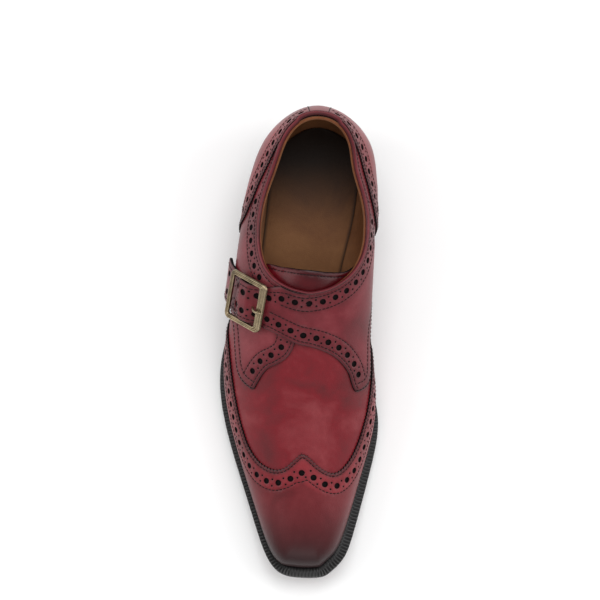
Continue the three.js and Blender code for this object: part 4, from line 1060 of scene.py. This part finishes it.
front_inner = on_foot(rounded(QUARTER_MEDIAL_FRONT))
strap_line = rounded(STRAP_END)
collar_front = collar_outer[(collar_outer[:, 1] < 1.2)][::-1]
inner_loop = np.vstack([
    front_inner,
    strap_line,
    collar_front,
    collar_inner[1:][collar_inner[1:, 0] < BACK_SEAM],
    np.linspace((BACK_SEAM, collar_inner[-1, 1]), (BACK_SEAM, 0.0), 60),
    np.linspace((BACK_SEAM - 0.05, 0.0), (10.1, 0.0), 100),
])
strap_front = np.vstack([front_inner[front_inner[:, 0] < 9.2][20:], strap_line[:40]])
strap_front = strap_front[strap_front[:, 1] > 0.6]
collar_band_inner = collar_line[(collar_line[:, 1] < 1.17) & (collar_line[:, 0] < 15.2)]
strap_and_collar = eased(np.vstack([strap_line[76:], collar_band_inner]), 12)
strap_back = eased(np.vstack([strap_line[40:], collar_band_inner]), 4)
low_inner = front_inner[front_inner[:, 1] < 0.61]
inner_big, inner_small = quarter_holes(inner_loop, [
    # edge, side, off the edge, clear at the start, clear at the end
    (strap_front[strap_front[:, 1] < 1.84], -1, 6.6, 7.0, 5.0),
    (strap_and_collar, -1, 6.8, 6.0, 2.0),
])
inner_seams = [parallel(line, -away) for line, away in (
    (strap_front, EDGE_SEAM),
    (spaced(strap_front[strap_front[:, 1] < 1.3], 1.5, 6, 0), BAND_WIDE),
    (low_inner, LOW_SEAMS[0]),
    (spaced(low_inner, 1.5, 0, 3), LOW_SEAMS[1]),
    (strap_back, 2.8),
    (collar_band_inner, COLLAR_BAND_WIDE),
)]
quarter_inner = cut_leather(
    "quarter_inner_with_strap", [inner_loop], strap_top, strap_bottom, [quarter_leather, edge_paint_and_hole_shade],
    inner_big, inner_small, inner_seams, quarter_shade)
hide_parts("quarter_medial")
sew("quarter_inner_stitches", inner_seams, strap_top, thread, [inner_loop])

# Heel counter. A pinked calf piece wraps the heel over both quarters, up to the top line. It is sewn
# down along its front edges, the brogue band runs beside them and on along the top line, and a row of
# stitches runs down each side of the heel's back.
BACK_STRIP_ROW = 15.64
COUNTER_HOLES_OFF = 6.6
COUNTER_BAND_WIDE = 11.2


def counter_top(row, girth):
    return 2 * (SEAM_GAP + OVERLAY_THICK) + 0 * row


def counter_bottom(row, girth):
    return 1.55 + 0 * row


back_girths = collar_inner[-1, 1] * np.linspace(1, 0, 41)
counter_sides = ((counter_inner_line, collar_inner, -1), (counter_outer_line, collar_outer, 1))
counter_loops = []
for line, collar, side in counter_sides:
    girths = back_girths if side < 0 else 2 - back_girths
    counter_loops.append(np.vstack([
        pinked(line, depth=side * PINK_DEPTH),
        collar[collar[:, 0] > line[-1, 0] + 0.03][:-1],
        np.stack([np.full(41, float(LAST_ROW)), girths], -1),
        np.linspace((15.9, girths[-1]), (11.1, girths[-1]), 60),
    ]))
counter_bands = []
counter_seams = []
back_seams = []
for line, collar, side in counter_sides:
    run = collar[(collar[:, 0] > line[-1, 0] + 0.05) & (collar[:, 0] < BACK_STRIP_ROW - 0.02)]
    run = eased(np.vstack([line, run]), 10)
    counter_bands.append(brogue_band(run, counter_loops, side, COUNTER_HOLES_OFF, 9.0, 4.0))
    counter_seams += [parallel(run, side * EDGE_SEAM), parallel(run, side * COUNTER_BAND_WIDE)]
    top = np.interp(BACK_STRIP_ROW, *collar.T) + side * 0.03
    back_seams.append(np.linspace((BACK_STRIP_ROW, top), (BACK_STRIP_ROW, 1 + side * 0.94), 40))
counter_seams += back_seams
counter_big, counter_small = [np.vstack(kind) for kind in zip(*counter_bands)]
counter = cut_leather(
    "counter_leather", counter_loops, counter_top, counter_bottom, [cap_leather, edge_paint_and_hole_shade], counter_big,
    counter_small, counter_seams, quarter_shade, rubbed=1.2)
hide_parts("heel_counter")
sew("counter_stitches", counter_seams, counter_top, thread, counter_loops)

# Collar. The raw edges of quarters and lining are bound with a rolled strip of burgundy calf, and
# the lining shows beside it as a thin tan edge all round the opening.
BINDING_WIDE = 2.6
BINDING_HIGH = 3.2
BINDING_GROOVE = 0.55
LINING_EDGE_HIGH = 0.8
ROLL_CORNERS = 24


def bound_edge(name, along, lift, high, wide, finish, groove=0.0):
    """A roll along the opening's edge, oval in section, with a groove along its top; a grooved roll gets
    painted shade in the groove and on its lower half.
    """
    centre = on_the_last(*along.T, lift)
    normal = last_normal(*along.T)
    run = np.roll(centre, -1, axis=0) - np.roll(centre, 1, axis=0)
    run /= np.linalg.norm(run, axis=1)[:, None]
    over = np.cross(run, normal)
    over /= np.linalg.norm(over, axis=1)[:, None]
    turn = np.arange(ROLL_CORNERS) * 2 * math.pi / ROLL_CORNERS
    across = np.sin(turn) * wide / 2
    dip = np.where(np.cos(turn) > 0, np.exp(-(across / 0.35) ** 2), 0)
    up = np.cos(turn) * high / 2 - groove * dip
    roll = centre[:, None] + up[None, :, None] * normal[:, None] + across[None, :, None] * over[:, None]
    faces = net(len(along), ROLL_CORNERS, closed_rows=True, closed_across=True)
    # Painted shade: darker in the groove and on the roll's lower half, over an even slight darkening.
    painted_roll_shade = 0.1 + (0.8 * dip + 0.5 * (1 - smooth(np.cos(turn), 0.05, 0.4))) * (groove > 0)
    return piece(name, roll.reshape(-1, 3), faces, [finish], burnish_and_shade=np.tile(painted_roll_shade, len(along)))


collar_even = spaced(collar_line, 1.4)[:-1]
binding_lift = 1.0 + 1.35 * smooth(collar_even[:, 0], 15.0, 15.25)
binding = bound_edge(
    "collar_binding", collar_even, binding_lift, BINDING_HIGH, BINDING_WIDE, quarter_leather,
    groove=BINDING_GROOVE)
rim_tan = plain("rim_tan", dye(122, 68, 40), 0.6, shine=0.2)
lining_edge = bound_edge(
    "lining_edge", collar_even, np.full(len(collar_even), -1.0), LINING_EDGE_HIGH, LINING_EDGE_HIGH, rim_tan)

# Tongue. A separate piece of glossy dark red calf lies inside the throat under the strap, its top
# edge turned over and stitched. It is sewn to the vamp lining at its lower end.
TONGUE_THICK = 1.8
TONGUE_SINK = 5
TONGUE_SEAM = 2.6
TONGUE_LINE = [
    # row, girth
    (8.9, 0.72), (8.9, 1.28), (9.5, 1.36), (10.05, 1.44), (10.36, 1.44), (10.24, 1.25), (10.13, 1.1),
    (10.09, 0.95), (10.09, 0.8), (10.16, 0.68), (10.34, 0.55), (10.1, 0.52), (9.5, 0.65),
]


def tongue_top(row, girth):
    side = smooth(np.abs(girth - 1), 0.2, 0.42)
    return -UPPER_WALL - SEAM_GAP - TONGUE_SINK * smooth(row, 9.5, 10.5) * (1 - 0.85 * side)


def tongue_bottom(row, girth):
    return tongue_top(row, girth) - TONGUE_THICK


def tongue_painted_shade(point):
    # Painted shade where the tongue runs in under the strap's upper edge, and towards its top edge, sunk
    # inside the throat.
    return 0.35 * (1 - smooth(point[:, 1], 187, 194)) + 0.25 * smooth(point[:, 1], 198, 206)


tongue_leather = leather(
    "tongue_leather", dye(74, 3, 11), dye(94, 5, 17), dye(112, 12, 25), dye(22, 5, 8), 0.32, coat=0.12)
closed = TONGUE_LINE[-3:] + TONGUE_LINE + TONGUE_LINE[:3]
tongue_loop = rounded(closed)[PATTERN_STEPS * 3:PATTERN_STEPS * (3 + len(TONGUE_LINE))]
tongue_free = rounded(TONGUE_LINE[3:11])
tongue_seams = [beside(spaced(tongue_free, 1.5, 2, 2), -TONGUE_SEAM)]
tongue = cut_leather(
    "tongue_piece", [tongue_loop], tongue_top, tongue_bottom, [tongue_leather, edge_paint_and_hole_shade], (), (),
    tongue_seams, tongue_painted_shade)
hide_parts("tongue")
sew("tongue_stitches", tongue_seams, tongue_top, thread, [tongue_loop])

# Buckle. A cast brass frame with an antique finish, grooved along its bars and bent round the foot.
# Its middle bar is sewn to the outer quarter, and a round prong hinged on it goes through the strap.
BUCKLE_PLACE = (9.59, 1.435)
BUCKLE_TURN = -8
BUCKLE_LONG = 33
BUCKLE_TALL = 34
BUCKLE_FRONT_BAR = 5
BUCKLE_BAR = 3.4
BUCKLE_THICK = 2.4
BUCKLE_CURVE = 100
BUCKLE_CORNER = 4
BUCKLE_INNER_CORNER = 1.2
BUCKLE_LIFT = 5.1
HINGE_DIAMETER = 2.4
HINGE_LIFT = 3.75
PRONG_DIAMETER = 1.8
PRONG_CLEAR = 0.5
ROD_CORNERS = 16
place_row, place_girth = BUCKLE_PLACE
buckle_middle = last_point(place_row, place_girth)
buckle_up = last_normal(place_row, place_girth)
foot_way = last_point(place_row + 0.3, place_girth) - last_point(place_row - 0.3, place_girth)
to_instep = np.cross(foot_way, buckle_up)
to_instep /= np.linalg.norm(to_instep)
to_heel = np.cross(buckle_up, to_instep)
turn_by = math.radians(BUCKLE_TURN)
to_instep, to_heel = (
    to_instep * math.cos(turn_by) + to_heel * math.sin(turn_by),
    to_heel * math.cos(turn_by) - to_instep * math.sin(turn_by))


def over_strap(a, b, h):
    """A point over the strap: a towards the instep, b towards the heel, h off the last."""
    a, b, h = (np.asarray(value, float)[..., None] for value in (a, b, h))
    bent = h - a ** 2 / (2 * BUCKLE_CURVE)
    return buckle_middle + to_instep * a + to_heel * b + buckle_up * bent


def rounded_frame(low_a, high_a, low_b, high_b, radius, per_corner=8):
    corners = []
    for a, b, quarter in (
            (high_a - radius, high_b - radius, 0), (low_a + radius, high_b - radius, 1),
            (low_a + radius, low_b + radius, 2), (high_a - radius, low_b + radius, 3)):
        for k in range(per_corner + 1):
            angle = (quarter + k / per_corner) * math.pi / 2
            corners.append((a + radius * math.cos(angle), b + radius * math.sin(angle)))
    return np.array(corners)


antique_brass = plain(
    "antique_brass", dye(146, 131, 106), 0.33, metal=1.0, noise=0.2, scale=160, bump_strength=0.2)
half_long = BUCKLE_LONG / 2
half_tall = BUCKLE_TALL / 2
outside = rounded_frame(-half_long, half_long, -half_tall, half_tall, BUCKLE_CORNER)
within = rounded_frame(
    -half_long + BUCKLE_BAR, half_long - BUCKLE_FRONT_BAR, -half_tall + BUCKLE_BAR,
    half_tall - BUCKLE_BAR, BUCKLE_INNER_CORNER)
BAR_SECTION = [
    # across from the outside, height in shares of the thickness
    (0.0, 0.15), (0.0, 0.55), (0.04, 0.8), (0.12, 0.95), (0.22, 1.0), (0.31, 0.96), (0.38, 0.72),
    (0.45, 0.96), (0.52, 1.0), (0.59, 0.96), (0.66, 0.72), (0.73, 0.96), (0.82, 1.0), (0.92, 0.92),
    (1.0, 0.7), (1.0, 0.15), (0.9, 0.0), (0.1, 0.0),
]
frame_points = []
for across, high in BAR_SECTION:
    line = outside * (1 - across) + within * across
    frame_points.append(over_strap(line[:, 0], line[:, 1], BUCKLE_LIFT + BUCKLE_THICK * high))
frame_points = np.concatenate(frame_points)
frame_faces = net(len(BAR_SECTION), len(outside), closed_rows=True, closed_across=True)


def rod(path, diameter):
    """A round bar along a path, with domed ends."""
    run = np.gradient(path, axis=0)
    run /= np.linalg.norm(run, axis=1)[:, None]
    side = np.cross(run, to_heel)
    side = np.where(np.linalg.norm(side, axis=1)[:, None] < 0.1, buckle_up, side)
    side /= np.linalg.norm(side, axis=1)[:, None]
    other = np.cross(run, side)
    turn = np.arange(ROD_CORNERS) * 2 * math.pi / ROD_CORNERS
    size = np.full(len(path), diameter / 2)
    size[[0, -1]] *= 0.6
    loops = path[:, None] + size[:, None, None] * (
        np.cos(turn)[None, :, None] * side[:, None] + np.sin(turn)[None, :, None] * other[:, None])
    faces = net(len(path), ROD_CORNERS, closed_across=True)
    faces.append(tuple(range(ROD_CORNERS)))
    faces.append(tuple(reversed(range((len(path) - 1) * ROD_CORNERS, len(path) * ROD_CORNERS))))
    return loops.reshape(-1, 3), faces


hinge_reach = np.linspace(-1, 1, 12) * (half_tall - BUCKLE_BAR / 2)
hinge_points, hinge_faces = rod(
    over_strap(np.zeros(12), hinge_reach, np.full(12, HINGE_LIFT)), HINGE_DIAMETER)
frame_faces += [tuple(k + len(frame_points) for k in face) for face in hinge_faces]
buckle_frame = piece(
    "buckle_cast_frame", np.vstack([frame_points, hinge_points]), frame_faces, [antique_brass], crisp=50)
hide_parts("buckle_frame")
hole_place = last_point(*PRONG_HOLE) - buckle_middle
hole_a = float(hole_place @ to_instep)
hole_b = float(hole_place @ to_heel)
prong_over = BUCKLE_LIFT + BUCKLE_THICK + PRONG_CLEAR + PRONG_DIAMETER / 2
prong_marks = [
    # a, height off the last
    (HINGE_DIAMETER / 2 + SEAM_GAP + PRONG_DIAMETER / 2, HINGE_LIFT - 0.6),
    (hole_a, HINGE_LIFT + 1.1),
    (half_long - BUCKLE_FRONT_BAR, prong_over),
    (half_long + 0.8, prong_over - 0.1),
]
prong_a = [a for a, high in prong_marks]
prong_rise = through(prong_a, [high for a, high in prong_marks])
prong_path = np.linspace(prong_a[0], prong_a[-1], 24)
prong_points, prong_faces = rod(
    over_strap(prong_path, np.full(24, hole_b), prong_rise(prong_path)), PRONG_DIAMETER)
buckle_prong = piece("buckle_pin", prong_points, prong_faces, [antique_brass], crisp=50)
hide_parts("buckle_prong")

# Welt. A strip of black-stained leather sewn round the upper's edge and stitched to the outsole. Its
# top is pressed with a wheel into fine ribs.
RIB_PITCH = 2.3
RIB_DEEP = 0.6
RIB_STEPS = 6
WELT_SECTION = [
    # inwards from the edge, height over the outsole's underside
    (5.0, 5.45), (0.35, 5.45), (0.08, 5.8), (0.05, 7.3), (0.3, 7.85), (0.9, 8.0), (1.6, 8.0),
    (2.6, 8.0), (3.8, 8.0), (5.2, 8.0), (7.5, 7.9), (9.5, 7.8),
]
RIBBED = np.array([0, 0, 0, 0.15, 0.6, 1, 1, 1, 1, 0.4, 0, 0])
edge_black = plain("edge_black", dye(9, 7, 8), 0.34, noise=0.2, scale=500, bump_strength=0.3, coat=0.05)
around_w = np.linspace(-LAST_ROW, LAST_ROW, 4001)
around_x, around_y = outline_point(around_w, 0)
around_run = np.concatenate([[0], np.cumsum(np.hypot(np.diff(around_x), np.diff(around_y)))])
ribs = int(around_run[-1] / RIB_PITCH)
rib_marks = np.arange(ribs * RIB_STEPS)
welt_w = np.interp(rib_marks * around_run[-1] / len(rib_marks), around_run, around_w)
wave = 0.5 - 0.5 * np.cos(rib_marks * 2 * math.pi / RIB_STEPS)
welt_points = []
for k, (inward, high) in enumerate(WELT_SECTION):
    x, y = outline_point(welt_w, np.minimum(inward, feather_inset(welt_w) + UPPER_WALL * 1.3))
    dip = RIB_DEEP * wave ** 2 * RIBBED[k]
    welt_points.append(np.stack([x, y, tread_height(y) + high - dip], -1))
welt_points = np.concatenate(welt_points)
welt_faces = net(len(WELT_SECTION), len(welt_w), closed_rows=True, closed_across=True)
welt = piece("welt_strip", welt_points, welt_faces, [edge_black])
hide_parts("welt")

# Outsole. Sole leather 5 mm thick, stained burgundy and waxed underneath, its edges trimmed and
# blacked. A groove holds the black lockstitch round the forepart, which ends under the waist.
GROOVE_INSET = 9.3
EDGE_RINGS = 6
SOLE_ACROSS = 13
GROOVE_END_INNER = 186.9
GROOVE_END_OUTER = 194.0
LOCK_PITCH = 4.2
OUTSOLE_SECTION = [
    # inwards from the edge, height over the underside
    (10.9, 5.0), (4.0, 5.0), (0.4, 5.0), (0.1, 4.7), (0.0, 4.2), (0.0, 1.0), (0.15, 0.45), (0.6, 0.08),
    (1.4, 0.0), (3.5, 0.0), (6.0, 0.0), (8.4, 0.0), (8.8, 0.12), (9.0, 0.5), (9.3, 0.7), (9.6, 0.5),
    (9.8, 0.12), (10.2, 0.0), (10.9, 0.0),
]
sole_leather = leather(
    "sole_leather", dye(70, 20, 26), dye(84, 24, 32), dye(96, 32, 40), dye(24, 10, 12), 0.3, cloud=12,
    grain=0.12, coat=0.35, pores=2200)


def stitched(y, w):
    """Where the sole's groove runs: it fades out in the waist, further back on the outer side."""
    end = np.where(w > 0, GROOVE_END_INNER, GROOVE_END_OUTER)
    return 1 - smooth(y, end - 1, end + 1)


sole_w = np.linspace(-LAST_ROW, LAST_ROW, 641)
sole_points = []
sole_darkening = []
for inward, high in OUTSOLE_SECTION:
    x, y = outline_point(sole_w, inward)
    depth = high * stitched(y, sole_w) if 8 < inward < 10 else high
    sole_points.append(np.stack([x, y, tread_height(y) + depth], -1))
    # Painted shade fills the stitch groove; elsewhere the tread darkens a little towards its edge.
    grooved = 0.85 if 8.7 < inward < 9.9 else 0.25 * math.exp(-inward / 3)
    sole_darkening.append(grooved * stitched(y, sole_w) if inward > 8 else np.full(len(sole_w), grooved))
ring_count = len(sole_w)
sole_faces = net(len(OUTSOLE_SECTION), ring_count)
sole_finish = [int(k < EDGE_RINGS * (ring_count - 1)) for k in range(len(sole_faces))]
half = (ring_count - 1) // 2
for level in (0, len(OUTSOLE_SECTION) - 1):
    left = sole_points[level][half::-1]
    right = sole_points[level][half:]
    start = sum(len(line) for line in sole_points)
    share = np.linspace(0, 1, SOLE_ACROSS)[None, :, None]
    middle = left[:, None] * (1 - share) + right[:, None] * share
    middle[..., 2] = tread_height(middle[..., 1]) + OUTSOLE_SECTION[level][1]
    sole_points.append(middle.reshape(-1, 3))
    sole_darkening.append(np.zeros(len(sole_points[-1])))
    quads = net(half + 1, SOLE_ACROSS, start=start)
    sole_faces += quads
    sole_finish += [0] * len(quads)
outsole = piece(
    "outsole_with_groove", np.concatenate(sole_points), sole_faces, [sole_leather, edge_black], sole_finish,
    burnish_and_shade=np.concatenate(sole_darkening), weld=True)
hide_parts("outsole")

groove_w = np.linspace(-10.8, 10.8, 3001)
groove_x, groove_y = outline_point(groove_w, GROOVE_INSET)
on_front = stitched(groove_y, groove_w) > 0.9
groove_w = groove_w[on_front]
groove_steps = np.hypot(np.diff(groove_x[on_front]), np.diff(groove_y[on_front]))
groove_run = np.concatenate([[0], np.cumsum(groove_steps)])
lock_stops = (np.arange(int(groove_run[-1] / LOCK_PITCH))[:, None] + 0.5 + STITCH_STEPS) * LOCK_PITCH
x, y = outline_point(np.interp(lock_stops, groove_run, groove_w), GROOVE_INSET)
centre = np.stack([x, y, tread_height(y) + np.array([0.75, 0.35, 0.28, 0.35, 0.75])], -1)
run = np.gradient(centre, axis=1)
run /= np.linalg.norm(run, axis=-1)[..., None]
side = np.stack([-run[..., 1], run[..., 0], 0 * x], -1)
lock_size = np.array([0.25, 0.42, 0.46, 0.42, 0.25])
lock_points, lock_faces = thread_bars(centre, side, 0 * side + (0, 0, 0.55), lock_size, 0)
lockstitch = piece("sole_lockstitch", lock_points, lock_faces, [thread])

# Heel. Stacked leather lifts, blacked and polished at the side. The top piece is burgundy leather with
# a corner of black rubber at the back, held by brass nails whose heads show underneath.
TOP_PIECE_THICK = 6
HEEL_TAPER = 2.4
HEEL_HOLLOW = 4.5
HEEL_LEAN = 5.5
HEEL_BREAST = (0.742, 0.71)
RUBBER_JOINT = (0.868, 0.9)
JOINT_GAP = 0.3
LIFT_PITCH = 0.005
many_w = np.linspace(6, 16, 5001)


def row_of(along):
    return float(np.interp(along * SOLE_LENGTH, outline_y(many_w), many_w))


def heel_block(front, back, low, high, hollow, lean, rows=48, across=20, levels=5):
    """A slab of the heel between two slanting lines and two heights, tapering to the floor."""
    share_i = (np.arange(rows + 1) / rows)[:, None, None]
    share_j = (np.arange(across + 1) / across)[None, :, None]
    share_k = (np.arange(levels) / (levels - 1))[None, None, :]
    row_outer, row_inner = (a * (1 - share_i) + b * share_i + 0 * share_k for a, b in zip(front, back))
    roof = HEEL_HEIGHT if callable(high) else high
    z = low + (roof - low) * share_k + 0 * row_outer
    taper = HEEL_TAPER * np.clip(1 - z / HEEL_HEIGHT, 0, 1)
    left = np.stack(outline_point(-row_outer, taper), -1)
    right = np.stack(outline_point(row_inner, taper), -1)
    flat = left * (1 - share_j[..., None]) + right * share_j[..., None]
    y = flat[..., 1] + hollow * 4 * share_j * (1 - share_j) * (1 - share_i)
    y = y + lean * (1 - share_i) * (1 - z / HEEL_HEIGHT)
    top = high(y) if callable(high) else high + 0 * y
    bulk = np.stack([flat[..., 0], y, low + (top - low) * share_k], -1)
    ids = np.arange(y.size).reshape(y.shape)
    faces = []
    for sheet in (ids[:, :, 0], ids[:, :, -1], ids[:, 0], ids[:, -1], ids[0], ids[-1]):
        corners = (sheet[:-1, :-1], sheet[1:, :-1], sheet[1:, 1:], sheet[:-1, 1:])
        faces += np.stack(corners, -1).reshape(-1, 4).tolist()
    return bulk.reshape(-1, 3), [tuple(face) for face in faces]


def polished_edge(name, colour, lift_pitch):
    """Blacked leather lifts: thin darker lines where one lift is glued on the next."""
    finish = plain(name, colour, 0.3, noise=0.2, scale=420, bump_strength=0.12, coat=0.3)
    nodes = finish.node_tree.nodes
    place = {"Vector": add_node(finish, "TexCoord", {}, {}).outputs["Object"]}
    banded = {"Scale": 0.314 / lift_pitch, "Distortion": 0.3, "Detail Scale": 4}
    lifts = add_node(finish, "TexWave", banded, place)
    lifts.wave_type = "BANDS"
    lifts.bands_direction = "Z"
    line_range = {"From Min": 0.0, "From Max": 0.12}
    lines = add_node(finish, "MapRange", line_range, {"Value": lifts.outputs["Fac"]}).outputs["Result"]
    wires = {"Height": lines, "Normal": nodes["Bump"].outputs["Normal"]}
    joined = add_node(finish, "Bump", {"Strength": 0.5, "Distance": 0.0002}, wires)
    finish.node_tree.links.new(joined.outputs["Normal"], nodes["Principled BSDF"].inputs["Normal"])
    return finish


heel_black = polished_edge("heel_black", dye(26, 16, 17), LIFT_PITCH)
breast = [row_of(along) for along in HEEL_BREAST]
joint_front = [row_of(along - JOINT_GAP / 2 / SOLE_LENGTH) for along in RUBBER_JOINT]
joint_back = [row_of(along + JOINT_GAP / 2 / SOLE_LENGTH) for along in RUBBER_JOINT]
heel_end = (LAST_ROW, LAST_ROW)
stack_points, stack_faces = heel_block(
    breast, heel_end, TOP_PIECE_THICK + SEAM_GAP, lambda y: tread_height(y) - 0.02, HEEL_HOLLOW, HEEL_LEAN)
heel_stack = piece("heel_lifts", stack_points, stack_faces, [heel_black], weld=True)
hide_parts("heel_stack")
heel_red = leather(
    "heel_red", dye(72, 30, 34), dye(80, 36, 40), dye(90, 44, 48), dye(24, 10, 12), 0.36, cloud=20,
    grain=0.15)
top_points, top_faces = heel_block(
    breast, joint_front, 0, TOP_PIECE_THICK, HEEL_HOLLOW, HEEL_LEAN, rows=24)
heel_leather = piece(
    "top_piece_leather", top_points, top_faces, [heel_red], burnish_and_shade=np.zeros(len(top_points)), weld=True)
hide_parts("heel_top_leather")
heel_rubber = plain("heel_rubber", dye(31, 32, 34), 0.6, noise=0.1, scale=900, bump_strength=0.3)
rubber_points, rubber_faces = heel_block(joint_back, heel_end, 0, TOP_PIECE_THICK, 0, 0, rows=30)
rubber = piece("top_piece_rubber", rubber_points, rubber_faces, [heel_rubber], weld=True)
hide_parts("heel_top_rubber")
NAILS = [
    # x, y from the toe
    (-31.1, 239.4), (23.8, 248.0), (-29.4, 260.3), (26.3, 268.8),
]
NAIL_SECTION = (
    # radius, height over the floor
    (1.0, 0.6), (1.0, 0.12), (0.85, 0.02), (0.4, 0.0),
)
NAIL_CORNERS = 16
nail_brass = plain("nail_brass", dye(196, 160, 90), 0.3, metal=1.0, noise=0.1, scale=400, bump_strength=0.1)
nail_points = []
nail_faces = []
for x, y in NAILS:
    start = len(nail_points)
    for radius, z in NAIL_SECTION:
        for k in range(NAIL_CORNERS):
            turn = k * 2 * math.pi / NAIL_CORNERS
            nail_points.append((x + radius * math.cos(turn), y + radius * math.sin(turn), z))
    nail_faces += net(len(NAIL_SECTION), NAIL_CORNERS, closed_across=True, start=start)
    nail_faces.append(tuple(len(nail_points) - NAIL_CORNERS + k for k in range(NAIL_CORNERS)))
nails = piece("heel_nails", nail_points, nail_faces, [nail_brass])
